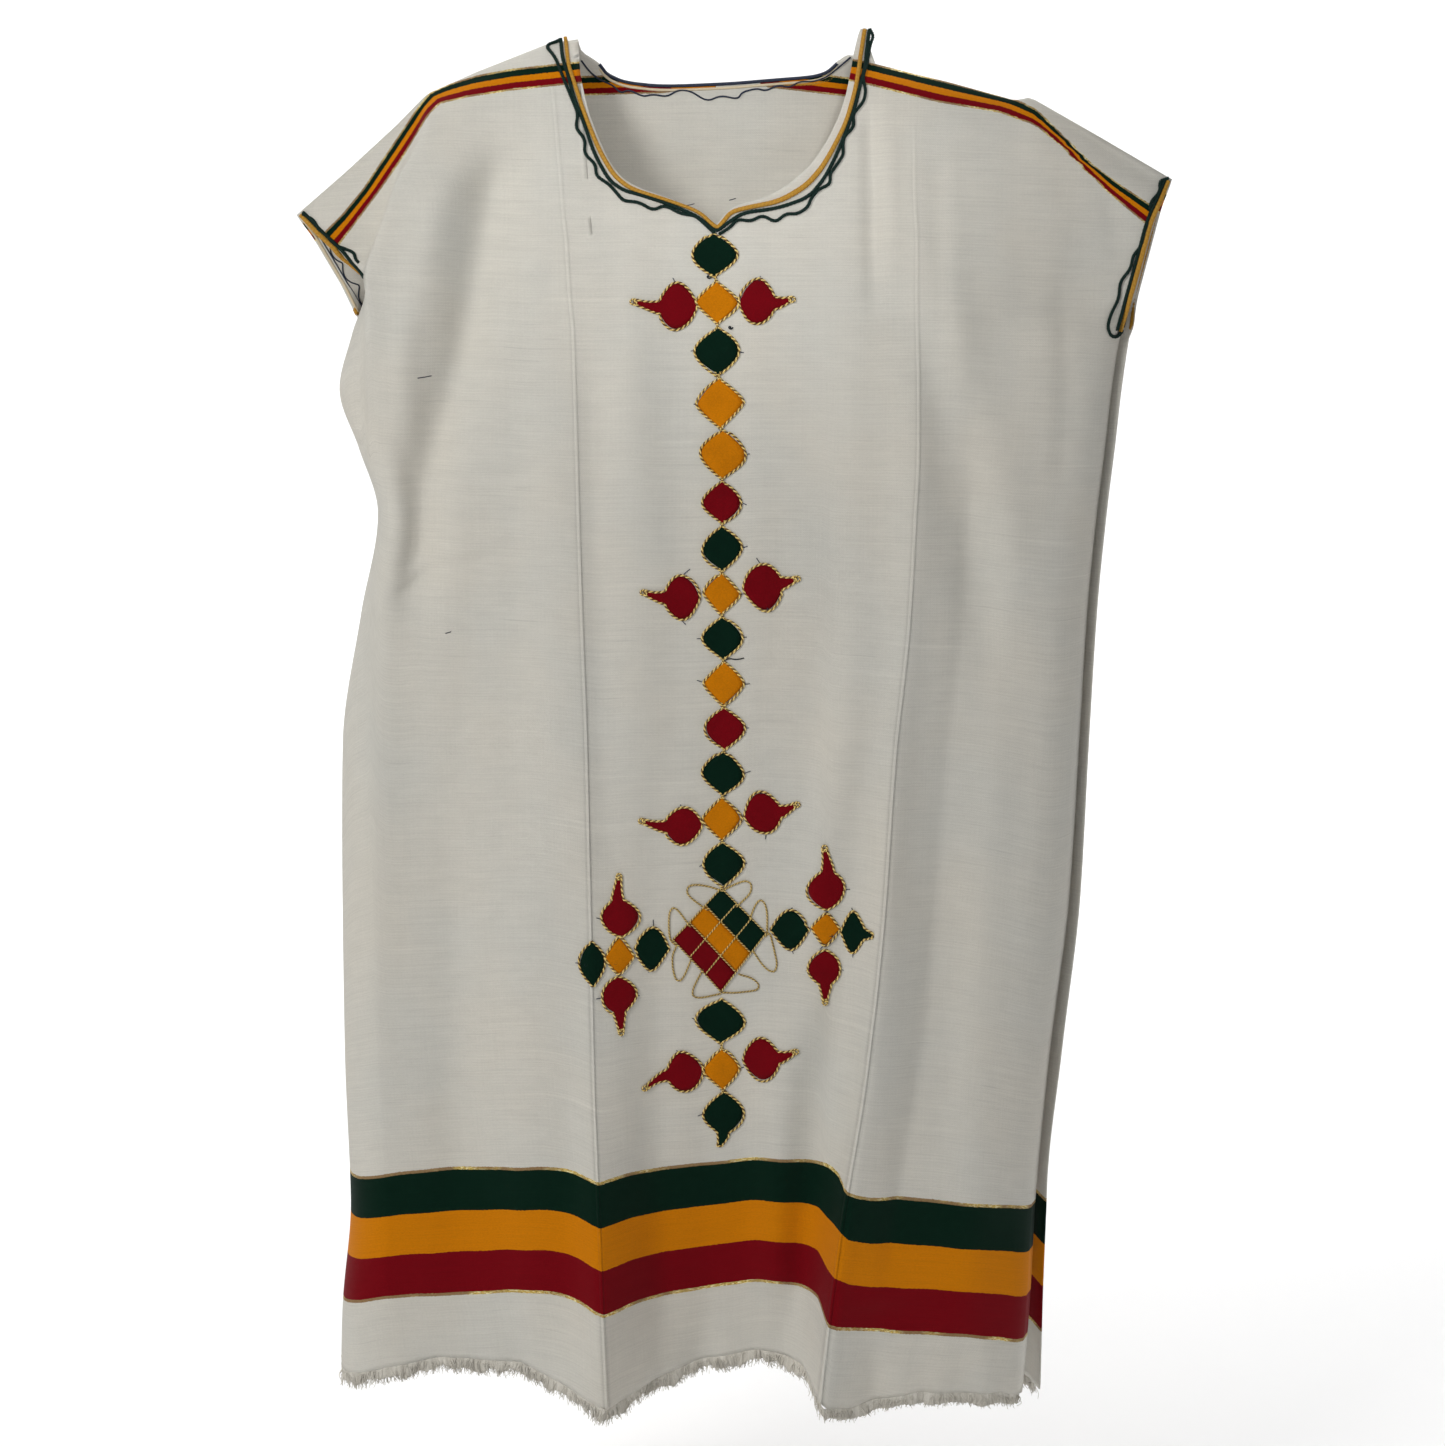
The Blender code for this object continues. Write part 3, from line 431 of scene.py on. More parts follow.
def depth_at(panel, x, z):
    """The finished surface: the part's own, with the folds and unevenness of the cloth on it."""
    x, z = np.asarray(x, float), np.asarray(z, float)
    depth, edge, drop = base_depth(panel, x, z)
    inner = ease((edge - 4) / 6)
    soft = sum(base_depth(panel, x + shift, z)[0] for shift in (-2.4, -1.2, 1.2, 2.4))
    depth = depth + ((depth + soft) / 5 - depth) * inner
    extra = unevenness(panel, x, z) * ease(drop / 120)
    for fold in panel.folds:
        away, _, share = from_path(fold.spots, x, z)
        fade = ease(share / fold.fade_in) * ease((1 - share) / fold.fade_out)
        extra = extra + fold.height * fade * np.exp(-((away / fold.width) ** 2))
    flutter = 1.6 * np.sin(x / 11 + panel.phase) + 1.1 * np.sin(x / 5.7 + 1.0)
    extra = extra + flutter * ease((-1000 - z) / 70)
    return depth + extra * ease((edge - 2) / 34) * ease(drop / 26)


def surface(panel, x, z):
    """Points of the panel's middle layer for arrays of x and z, in millimetres."""
    x, z = np.asarray(x, float), np.asarray(z, float)
    sign = -1 if panel.side == "front" else 1
    depth = np.maximum(depth_at(panel, x, z), SEAM_GAP / 2 + WALL / 2)
    return np.stack([x, sign * depth, z], axis=-1)


def outward(panel, x, z, step=1.2):
    """Unit normals of the panel's outer face."""
    across = surface(panel, x + step, z) - surface(panel, x - step, z)
    up = surface(panel, x, z + step) - surface(panel, x, z - step)
    normal = np.cross(across, up)
    if panel.side == "back":
        normal = -normal
    return normal / np.linalg.norm(normal, axis=-1, keepdims=True)


def raised(panel, spots, height):
    """Points a height above a panel's outer face at spots of x and z, and the normals there."""
    spots = np.asarray(spots, float)
    x, z = spots[..., 0], spots[..., 1]
    normal = outward(panel, x, z)
    height = np.broadcast_to(np.asarray(height, float), x.shape)
    return surface(panel, x, z) + normal * (WALL / 2 + height)[..., None], normal


def smooth_path(spots, spacing=1.0, closed=False):
    """A rounded path of x and z through spots, at an even spacing."""
    spots = np.array(spots, float)
    for _ in range(2):
        after = np.roll(spots, -1, axis=0) if closed else spots[1:]
        before = spots if closed else spots[:-1]
        cut = np.stack([before * 0.8 + after * 0.2, before * 0.2 + after * 0.8], axis=1)
        cut = cut.reshape(-1, 2)
        spots = cut if closed else np.concatenate([spots[:1], cut, spots[-1:]])
    if closed:
        spots = np.concatenate([spots, spots[:1]])
    runs = np.linalg.norm(np.diff(spots, axis=0), axis=1)
    marks = np.concatenate([[0], np.cumsum(runs)])
    count = max(int(marks[-1] / spacing), 4)
    at = np.linspace(0, marks[-1], count, endpoint=not closed)
    return np.stack([np.interp(at, marks, spots[:, i]) for i in (0, 1)], axis=1)


def row_on_line(panel, name, top_z, share):
    """Where a row crosses an inner line, lower under the arm where the sleeve's cloth hangs."""
    x_hem = panel.lines[name](-1070)
    z = top_z + (broken(panel.hem, x_hem) - top_z) * share
    under_arm = {"roll": 30.0 if panel.side == "front" else 45.0}.get(name, 0.0)
    z -= under_arm * math.sin(math.pi * min(share / (2 * CUFF_SHARE), 1.0))
    return (float(panel.lines[name](z)), float(z))


def row_on_side(panel, cuff, name, share):
    """Where a row meets the panel's edge: down the cuff first, then down the side."""
    if share <= CUFF_SHARE:
        at = share / CUFF_SHARE * (len(cuff) - 1)
        k = min(int(at), len(cuff) - 2)
        low, high = np.array(cuff[k], float), np.array(cuff[k + 1], float)
        return tuple(low + (high - low) * (at - k))
    hem = panel.hem[0 if name == "left" else -1]
    if share >= 1:
        return hem
    z = cuff[-1][1] + (hem[1] - cuff[-1][1]) * (share - CUFF_SHARE) / (1 - CUFF_SHARE)
    return (float(panel.lines[name](z)), z)


def on_seam(xs):
    return [(x, float(broken(SEAM, x))) for x in xs]


def outline_grid(panel, shares):
    """The x and z of the panel's points, row by row from the shoulder down to the hem."""
    sleeve_spans, body_spans, flank_spans = panel.splits
    _, roll, crease_a, crease_b, _ = (float(panel.lines[n](0)) for n in LINE_NAMES)
    start, end = SEAM[0][0], SEAM[-1][0]
    neck = smooth_path(panel.neck, 4.0)
    corner = smooth_path(NECK_CORNER, 3.0)
    runs = [
        on_seam(np.linspace(start, roll, sleeve_spans + 1)),
        on_seam(np.linspace(roll, crease_a, body_spans + 1)),
        on_seam([crease_a, *NEAR_NECK_LEFT])
        + [tuple(p) for p in neck]
        + [tuple(p) for p in corner]
        + on_seam([*NEAR_NECK_RIGHT, crease_b]),
        on_seam(np.linspace(crease_b, end, flank_spans + 1)),
    ]
    tops = [run[0] for run in runs] + [runs[-1][-1]]
    uprights = []
    for name, top in zip(LINE_NAMES, tops):
        if name in ("left", "right"):
            cuff = panel.cuff_left if name == "left" else panel.cuff_right
            uprights.append([row_on_side(panel, cuff, name, s) for s in shares])
        else:
            uprights.append([row_on_line(panel, name, top[1], s) for s in shares])
    grid = [[] for _ in shares]
    for k, run in enumerate(runs):
        top = np.array(run)
        low, high = uprights[k][-1], uprights[k + 1][-1]
        spans = np.linspace(0, 1, len(top))
        x_hem = low[0] + (high[0] - low[0]) * spans
        bottom = np.stack([x_hem, broken(panel.hem, x_hem)], axis=1)
        bottom[0], bottom[-1] = low, high
        for row, share in enumerate(shares):
            points = (1 - share) * top + share * bottom
            points = points + np.outer(1 - spans, np.array(uprights[k][row]) - points[0])
            points = points + np.outer(spans, np.array(uprights[k + 1][row]) - points[-1])
            grid[row].extend(points[0 if k == 0 else 1 :])
    return np.array(grid)


class Cloth:
    """Where each place on a panel lies on its flat cloth, measured along the surface."""

    step = 3.0

    def __init__(self, panel):
        self.panel = panel
        self.x = np.arange(-330.0, 357.0, self.step)
        self.z = np.arange(-1115.0, 24.0, self.step)
        depth = depth_at(panel, *np.meshgrid(self.x, self.z))
        across = np.hypot(self.step, np.clip(np.diff(depth, axis=1), -9, 9))
        upward = np.hypot(self.step, np.clip(np.diff(depth, axis=0), -9, 9))
        self.across = np.concatenate([np.zeros((len(self.z), 1)), np.cumsum(across, axis=1)], axis=1)
        self.across -= self.across[:, len(self.x) // 2][:, None]
        self.upward = np.concatenate([np.zeros((1, len(self.x))), np.cumsum(upward, axis=0)])
        self.upward -= self.upward[-9]

    def read(self, table, x, z):
        u = np.clip((x - self.x[0]) / self.step, 0, len(self.x) - 1.001)
        v = np.clip((z - self.z[0]) / self.step, 0, len(self.z) - 1.001)
        i, j = u.astype(int), v.astype(int)
        u, v = u - i, v - j
        low = table[j, i] * (1 - u) + table[j, i + 1] * u
        high = table[j + 1, i] * (1 - u) + table[j + 1, i + 1] * u
        return low * (1 - v) + high * v

    def place(self, x, z):
        """Along the weft and along the warp: the weft follows the hem band's run."""
        band = self.read(self.upward, x, self.panel.band[1](x))
        along = self.read(self.upward, x, z)
        return self.read(self.across, x, z), along - (band + 1010) * ease((-150 - z) / 700)


def stripe_place(stripes, x, z):
    """0 at the upper edge of the nearer stripe and 1 at its lower edge."""
    best, value = np.full(np.shape(x), 1e9), np.zeros(np.shape(x))
    for (upper, lower), below in zip(stripes, (1, -1)):
        away, upper_side, _ = from_path(upper, x, z)
        _, lower_side, _ = from_path(lower, x, z)
        down, past = upper_side * below, lower_side * below
        inside = down / np.maximum(down - past, 1e-6)
        beyond = np.where(past > 0, 1 + past / STRIPE_WIDTH, inside)
        share = np.where(down < 0, down / STRIPE_WIDTH, beyond)
        value = np.where(away < best, share, value)
        best = np.minimum(best, away)
    return value


def wall_faces(rows, columns):
    """The faces of a closed wall whose outer and inner layers are grids of one size."""
    layer = rows * columns
    index = np.arange(layer).reshape(rows, columns)
    a, b = index[:-1, :-1].ravel(), index[:-1, 1:].ravel()
    c, d = index[1:, 1:].ravel(), index[1:, :-1].ravel()
    outer = np.stack([a, b, c, d], axis=1)
    inner = np.stack([d, c, b, a], axis=1) + layer
    rim = np.concatenate([index[0], index[1:, -1], index[-1, -2::-1], index[-2:0:-1, 0]])
    after = np.roll(rim, -1)
    sides = np.stack([rim + layer, after + layer, after, rim], axis=1)
    return np.concatenate([outer, inner, sides])


class Pile:
    """Gathers many small shapes into one mesh."""

    def __init__(self):
        self.points, self.faces, self.count = [], [], 0
        self.tones = []

    def add(self, points, faces, tone=0.5):
        points = np.asarray(points, float)
        self.points.append(points)
        self.faces += [[i + self.count for i in face] for face in faces]
        self.count += len(points)
        self.tones.append(np.broadcast_to(tone, (len(points),)))

    def tube(self, path, radius, sides=6, closed=False, tone=0.5, squash=1.0, normals=None):
        path = np.asarray(path, float)
        count = len(path)
        if closed:
            along = np.roll(path, -1, axis=0) - np.roll(path, 1, axis=0)
        else:
            along = np.gradient(path, axis=0)
        along /= np.maximum(np.linalg.norm(along, axis=1, keepdims=True), 1e-9)
        if normals is None:
            normals = np.tile([0.0, -1.0, 0.0], (count, 1))
        side = np.cross(along, normals)
        side /= np.maximum(np.linalg.norm(side, axis=1, keepdims=True), 1e-9)
        up = np.cross(side, along)
        radius = np.broadcast_to(np.asarray(radius, float), (count,))
        turns = 2 * math.pi * np.arange(sides) / sides
        rings = (
            path[:, None]
            + side[:, None] * (np.cos(turns)[None, :, None] * radius[:, None, None])
            + up[:, None] * (np.sin(turns)[None, :, None] * radius[:, None, None] * squash)
        )
        faces = []
        for k in range(count if closed else count - 1):
            here, there = k * sides, (k + 1) % count * sides
            for i in range(sides):
                j = (i + 1) % sides
                faces.append([here + i, here + j, there + j, there + i])
        if not closed:
            faces.append(list(range(sides))[::-1])
            faces.append([(count - 1) * sides + i for i in range(sides)])
        self.add(rings.reshape(-1, 3), faces, tone)

    def twist(
        self, path, normals, radius, pitch, closed=False, tone=0.5, sides=4, plies=2, ply_highlight_and_shade=0.0
    ):
        """A cord of plies turned round each other along a path, with painted highlight on one ply and
        painted shade on another.
        """
        path = np.asarray(path, float)
        ends = np.roll(path, -1, axis=0) if closed else path[1:]
        lengths = np.linalg.norm(ends - path[: len(ends)], axis=1)
        marks = np.concatenate([[0], np.cumsum(lengths)])
        total = marks[-1]
        count = max(int(total / pitch * 5), 6)
        at = np.linspace(0, total, count, endpoint=not closed)
        loop = np.concatenate([path, path[:1]]) if closed else path
        ways = np.concatenate([normals, normals[:1]]) if closed else normals
        fine = np.stack([np.interp(at, marks, loop[:, i]) for i in range(3)], axis=1)
        up = np.stack([np.interp(at, marks, ways[:, i]) for i in range(3)], axis=1)
        thick = np.broadcast_to(np.asarray(radius, float), (len(path),))
        thick = np.interp(at, marks, np.concatenate([thick, thick[:1]]) if closed else thick)
        along = np.gradient(fine, axis=0)
        side = np.cross(along, up)
        side /= np.maximum(np.linalg.norm(side, axis=1, keepdims=True), 1e-9)
        turns = max(round(total / pitch), 1)
        for ply in range(plies):
            phase = 2 * math.pi * (turns * at / total + ply / plies)
            offset = side * np.cos(phase)[:, None] + up * np.sin(phase)[:, None]
            # Painted light and shade: each ply's tone is stepped lighter or darker.
            shade = tone + ply_highlight_and_shade * (0.5 - ply / max(plies - 1, 1))
            self.tube(fine + offset * thick[:, None] * 0.5, thick * 0.62, sides, closed, shade, 1.0, up)

    def make(self, name, material):
        mesh = bpy.data.meshes.new(name)
        points = np.concatenate(self.points) * MM
        mesh.from_pydata(points.tolist(), [], self.faces)
        mesh.update()
        tones = mesh.attributes.new("tone", "FLOAT", "POINT")
        tones.data.foreach_set("value", np.concatenate(self.tones).astype(np.float32))
        return finish_piece(name, mesh, material)


def finish_piece(name, mesh, material):
    mesh.materials.append(material)
    mesh.shade_smooth()
    obj = bpy.data.objects.new(name, mesh)
    bpy.context.scene.collection.objects.link(obj)
    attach(obj, "root")
    return obj


def srgb(red, green, blue):
    """A colour as seen on a screen, from 0 to 255, as Blender's linear colour."""
    shares = [v / 255 for v in (red, green, blue)]
    linear = [v / 12.92 if v <= 0.04 else ((v + 0.055) / 1.055) ** 2.4 for v in shares]
    return (*linear, 1.0)


CLOTH_COOL = srgb(221, 219, 211)
CLOTH_WARM = srgb(225, 221, 211)
GREEN = srgb(0, 32, 20)
YELLOW = srgb(208, 124, 0)
RED = srgb(118, 0, 14)


class Shader:
    """Short ways to build a material's nodes."""

    def __init__(self, name):
        self.material = bpy.data.materials.new(name)
        self.material.use_nodes = True
        self.tree = self.material.node_tree
        self.surface = self.tree.nodes["Principled BSDF"]
        self.output = self.tree.nodes["Material Output"]

    def node(self, kind, **settings):
        made = self.tree.nodes.new(kind)
        for key, value in settings.items():
            setattr(made, key, value)
        return made

    def put(self, value, socket):
        if isinstance(value, bpy.types.NodeSocket):
            self.tree.links.new(value, socket)
        else:
            socket.default_value = value

    def set(self, **settings):
        """Numbers on the surface's own sockets, with _ for the blanks in their names."""
        for name, value in settings.items():
            self.surface.inputs[name.replace("_", " ")].default_value = value

    def math(self, operation, first, second=0.0):
        made = self.node("ShaderNodeMath", operation=operation)
        self.put(first, made.inputs[0])
        self.put(second, made.inputs[1])
        return made.outputs[0]

    def times(self, first, second):
        return self.math("MULTIPLY", first, second)

    def plus(self, first, second):
        return self.math("ADD", first, second)

    def grey(self, value):
        """A colour whose red, green and blue are all this value."""
        made = self.node("ShaderNodeCombineColor")
        for socket in made.inputs[:3]:
            self.put(value, socket)
        return made.outputs[0]

    def tinted(self, colour, shade):
        return self.mix(1.0, colour, self.grey(shade), "MULTIPLY")

    def attribute(self, name, output="Fac"):
        return self.node("ShaderNodeAttribute", attribute_name=name).outputs[output]

    def stretched(self, vector, scale):
        made = self.node("ShaderNodeVectorMath", operation="MULTIPLY")
        self.put(vector, made.inputs[0])
        made.inputs[1].default_value = scale
        return made.outputs[0]

    def noise(self, vector, scale, detail=2.0, rough=0.5):
        made = self.node("ShaderNodeTexNoise")
        self.put(self.stretched(vector, scale), made.inputs["Vector"])
        made.inputs["Scale"].default_value = 1.0
        made.inputs["Detail"].default_value = detail
        made.inputs["Roughness"].default_value = rough
        return made.outputs["Fac"]

    def span(self, value, low, high, to_low=0.0, to_high=1.0):
        made = self.node("ShaderNodeMapRange", clamp=True)
        for socket, given in zip(made.inputs, (value, low, high, to_low, to_high)):
            self.put(given, socket)
        return made.outputs[0]

    def mix(self, share, first, second, blend="MIX"):
        made = self.node("ShaderNodeMix", data_type="RGBA", blend_type=blend)
        self.put(share, made.inputs[0])
        self.put(first, made.inputs[6])
        self.put(second, made.inputs[7])
        return made.outputs[2]

    def within(self, value, low, high):
        """1 where the value is from low to high, else 0."""
        above = self.math("GREATER_THAN", value, low)
        below = self.math("LESS_THAN", value, high)
        return self.times(above, below)

    def bump(self, height, distance, strength=1.0, normal=None):
        made = self.node("ShaderNodeBump")
        made.inputs["Strength"].default_value = strength
        made.inputs["Distance"].default_value = distance
        self.put(height, made.inputs["Height"])
        if normal is not None:
            self.put(normal, made.inputs["Normal"])
        return made.outputs["Normal"]

    def weave(self, vector, pitch):
        """The over and under of a plain weave whose yarns lie a pitch apart."""
        turn = math.pi / pitch
        parts = self.node("ShaderNodeSeparateXYZ")
        self.put(vector, parts.inputs[0])
        warp = self.math("SINE", self.times(parts.outputs[0], turn))
        weft = self.math("SINE", self.times(parts.outputs[1], turn))
        crossing = self.times(warp, weft)
        rows = self.math("ABSOLUTE", weft)
        return self.plus(crossing, self.times(rows, 0.6))


def cotton_material():
    """Hand-woven cotton with its woven band, stripe and gold lines, from the mesh's attributes."""
    s = Shader("handwoven_cotton")
    place = s.attribute("cloth", "Vector")
    band, stripe, height = s.attribute("band"), s.attribute("stripe"), s.attribute("height")
    weft_slubs = s.noise(place, (0.014, 0.85, 1), 3.0, 0.65)
    warp_slubs = s.noise(place, (0.7, 0.012, 1), 2.0, 0.6)
    clouds = s.noise(place, (0.011, 0.008, 1), 2.0)
    grain = s.noise(place, (0.55, 0.9, 1), 3.0, 0.7)
    mottling = s.noise(place, (0.05, 0.09, 1), 3.0, 0.6)
    thick_yarn = s.span(s.noise(place, (0.005, 0.14, 1), 1.0), 0.68, 0.74)
    dark_yarn = s.span(s.noise(place, (0.016, 0.42, 2), 1.0), 0.69, 0.76)

    colour = s.mix(s.span(clouds, 0.35, 0.65), CLOTH_COOL, CLOTH_WARM)
    parts = [
        s.span(weft_slubs, 0.3, 0.7, -0.055, 0.05),
        s.span(warp_slubs, 0.3, 0.7, -0.014, 0.014),
        s.span(grain, 0.25, 0.75, -0.05, 0.05),
        s.span(mottling, 0.3, 0.7, -0.022, 0.022),
        s.times(thick_yarn, 0.05),
        s.times(dark_yarn, -0.07),
    ]
    # The two pressed creases: a raised line in the bump, painted lighter along it as a painted
    # highlight, with painted shade in a narrow band on each side, fainter higher up.
    ridge_height = 0.0
    for name, start in CREASE_TOPS:
        away = s.math("ABSOLUTE", s.attribute(name))
        strength = s.times(
            s.span(height, start, CREASE_FULL_Z, 0.28, 1.0), s.span(height, start + 30, start, 0, 1)
        )
        line = s.times(s.span(away, 0.5, 1.7, 1, 0), strength)
        painted_crease_shade = s.times(s.within(away, 1.5, 3.6), s.span(away, 1.5, 3.6, 1, 0))
        # Painted highlight on the crease line, then painted shade beside it.
        parts.append(s.times(line, 0.09))
        parts.append(s.times(s.times(painted_crease_shade, strength), -0.17))
        ridge_height = s.plus(ridge_height, line)
    shade = 1.0
    for part in parts:
        shade = s.plus(shade, part)
    colour = s.tinted(colour, shade)

    wobble = s.span(s.noise(place, (0.9, 0.9, 1), 2.0), 0.2, 0.8, -0.45, 0.45)
    drift = s.span(s.noise(place, (0.02, 0.002, 1), 1.0), 0.3, 0.7, -0.7, 0.7)
    edge = s.plus(band, s.plus(wobble, drift))
    thin_edge = s.plus(stripe, s.times(wobble, 0.07))
    dyed_shade = s.plus(
        s.span(grain, 0.2, 0.8, 0.86, 1.12), s.span(weft_slubs, 0.3, 0.7, -0.05, 0.05)
    )
    gold_any = dyed_any = 0.0
    third = BAND_HEIGHT / 3
    # The band rises from red at its foot to green, the stripe falls from green to red.
    for value, wide, line, dyes in (
        (edge, third, 2.5, (RED, YELLOW, GREEN)),
        (thin_edge, 1 / 3, 0.1, (GREEN, YELLOW, RED)),
    ):
        for k, dye in enumerate(dyes):
            mask = s.within(value, k * wide, (k + 1) * wide)
            colour = s.mix(mask, colour, s.tinted(dye, dyed_shade))
            dyed_any = s.math("MAXIMUM", dyed_any, mask)
        for low in (-line, 3 * wide):
            gold_any = s.math("MAXIMUM", gold_any, s.within(value, low, low + line))
    # The gold's colour carries painted highlights: it runs from dark to bright with the glint noise as
    # painted glints, with near-white painted sparkle where it is shiny and fainter painted glints where
    # it is dull.
    glint = s.noise(place, (0.6, 2.4, 1), 2.0, 0.8)
    patchy = s.span(s.noise(place, (0.02, 0.03, 1), 2.0, 0.7), 0.46, 0.58)
    painted_sparkle = s.span(s.noise(place, (0.28, 0.9, 1), 1.0, 0.6), 0.52, 0.6)
    foil_with_painted_glints = s.mix(s.span(glint, 0.38, 0.6), srgb(140, 98, 36), srgb(255, 226, 124))
    foil_with_painted_glints = s.mix(painted_sparkle, foil_with_painted_glints, srgb(255, 246, 190))
    dull = s.mix(s.span(glint, 0.3, 0.7), srgb(128, 96, 62), srgb(178, 150, 108))
    colour = s.mix(gold_any, colour, s.mix(patchy, dull, foil_with_painted_glints))
    shiny = s.times(gold_any, patchy)
    s.put(colour, s.surface.inputs["Base Color"])
    s.put(s.times(shiny, 0.12), s.surface.inputs["Metallic"])
    s.put(s.span(shiny, 0, 1, 0.95, 0.38), s.surface.inputs["Roughness"])
    s.set(Specular_IOR_Level=0.12, Sheen_Weight=0.04, Sheen_Roughness=0.5)

    raised_line = s.bump(ridge_height, 0.0011, 1.0)
    relief = s.times(s.weave(place, 0.85), 0.35)
    relief = s.plus(relief, s.times(weft_slubs, 2.4))
    relief = s.plus(relief, s.times(warp_slubs, 1.2))
    relief = s.plus(relief, s.times(mottling, 3.0))
    relief = s.plus(relief, s.times(s.times(glint, shiny), 3.0))
    s.put(s.bump(relief, 0.0003, 0.4, raised_line), s.surface.inputs["Normal"])

    # The open weave lets a little light through, less where the dyed yarns are packed.
    through = s.node("ShaderNodeBsdfTranslucent")
    s.put(colour, through.inputs["Color"])
    blend = s.node("ShaderNodeMixShader")
    s.put(s.span(dyed_any, 0, 1, 0.14, 0.0), blend.inputs[0])
    s.put(s.surface.outputs[0], blend.inputs[1])
    s.put(through.outputs[0], blend.inputs[2])
    s.put(blend.outputs[0], s.output.inputs["Surface"])
    return s.material


def dyed_material(name, colour):
    """The closer cloth of the appliques."""
    s = Shader(name)
    place = s.node("ShaderNodeTexCoord").outputs["Object"]
    grain = s.noise(place, (700, 700, 900), 3.0, 0.7)
    clouds = s.noise(place, (40, 40, 40), 2.0)
    shade = s.times(s.span(grain, 0.2, 0.8, 0.8, 1.16), s.span(clouds, 0.3, 0.7, 0.92, 1.08))
    s.put(s.tinted(colour, shade), s.surface.inputs["Base Color"])
    s.set(Roughness=0.92, Specular_IOR_Level=0.12, Sheen_Weight=0.03, Sheen_Roughness=0.4)
    swapped = s.node("ShaderNodeSeparateXYZ")
    s.put(s.stretched(place, (1000, 1000, 1000)), swapped.inputs[0])
    flat = s.node("ShaderNodeCombineXYZ")
    s.put(swapped.outputs[0], flat.inputs[0])
    s.put(swapped.outputs[2], flat.inputs[1])
    height = s.plus(s.weave(flat.outputs[0], 0.55), s.times(grain, 2.0))
    s.put(s.bump(height, 0.0002, 0.6), s.surface.inputs["Normal"])
    return s.material


def thread_material(name, dark, light, metal=0.0, rough=0.75):
    """Thread or cord, each piece a little lighter or darker than the next: tone at random, and on
    twisted cords the painted highlight and shade of their plies.
    """
    s = Shader(name)
    place = s.node("ShaderNodeTexCoord").outputs["Object"]
    fibre = s.noise(place, (1500, 1500, 1500), 2.0, 0.7)
    tone = s.plus(s.attribute("tone"), s.span(fibre, 0.2, 0.8, -0.35, 0.35))
    s.put(s.mix(s.span(tone, 0, 1), dark, light), s.surface.inputs["Base Color"])
    s.set(Metallic=metal, Roughness=rough, Specular_IOR_Level=0.35)
    s.put(s.bump(fibre, 0.0002, 0.6), s.surface.inputs["Normal"])
    return s.material


def build_panel(panel, material):
    """The panel's cloth as a closed wall, with its flat places kept on the mesh, and its area."""
    above = np.linspace(0, CUFF_SHARE, SLEEVE_ROWS, endpoint=False)
    shares = np.concatenate([above, np.linspace(CUFF_SHARE, 1, BODY_ROWS)])
    grid = outline_grid(panel, shares)
    x, z = grid[..., 0], grid[..., 1]
    middle = surface(panel, x, z)
    normal = outward(panel, x, z)
    sign = -1 if panel.side == "front" else 1
    least = SEAM_GAP / 2 + np.abs(normal[..., 1]) * WALL / 2
    stands = np.maximum(middle[..., 1] * sign, least)
    on_edge = np.zeros(stands.shape, bool)
    on_edge[:, 0] = on_edge[:, -1] = on_edge[0, :] = True
    close = on_edge & (stands < 1.0)
    stands[close] = least[close]
    middle[..., 1] = stands * sign
    if panel.side == "front":
        # The body's cloth rolls a little way out over the sleeve.
        past_roll = x - panel.lines["roll"](z)
        rolled = np.exp(-(((past_roll - 3) / 9) ** 2)) * ease((past_roll + 3) / 4)
        middle[..., 0] -= LIP_OUT * rolled * ease((z - LIP_FOOT) / 44) * ease((LIP_TOP - z) / 50)
    layers = (middle + normal * WALL / 2, middle - normal * WALL / 2)
    points = np.concatenate([layer.reshape(-1, 3) for layer in layers])
    faces = wall_faces(*x.shape)
    if panel.side == "back":
        faces = faces[:, ::-1]
    mesh = bpy.data.meshes.new(f"cloth_{panel.side}_panel")
    mesh.from_pydata((points * MM).tolist(), [], faces[:, ::-1].tolist())
    mesh.update()

    cloth = Cloth(panel)
    weft, warp = cloth.place(x, z)
    upper, lower = (edge(x) for edge in panel.band)
    values = {
        "band": BAND_HEIGHT * (z - lower) / (upper - lower),
        "stripe": stripe_place(panel.stripes, x, z),
        "ridge_a": x - panel.lines["crease_a"](z),
        "ridge_b": x - panel.lines["crease_b"](z),
        "height": z,
    }
    for name, value in values.items():
        made = mesh.attributes.new(name, "FLOAT", "POINT")
        flat = np.concatenate([value.ravel(), value.ravel()]).astype(np.float32)
        made.data.foreach_set("value", flat)
    made = mesh.attributes.new("cloth", "FLOAT_VECTOR", "POINT")
    place = np.stack([weft, warp, np.full(x.shape, panel.phase * 40)], axis=-1).reshape(-1, 3)
    flat = np.concatenate([place, place]).astype(np.float32)
    made.data.foreach_set("vector", flat.ravel())
    piece = finish_piece(f"cloth_{panel.side}_panel", mesh, material)
    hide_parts(f"{panel.side}_panel")
    across = np.linalg.norm(np.diff(middle, axis=1), axis=2)[:-1]
    down = np.abs(np.diff(warp, axis=0))[:, :-1]
    return piece, float((across * down).sum()) * MM * MM


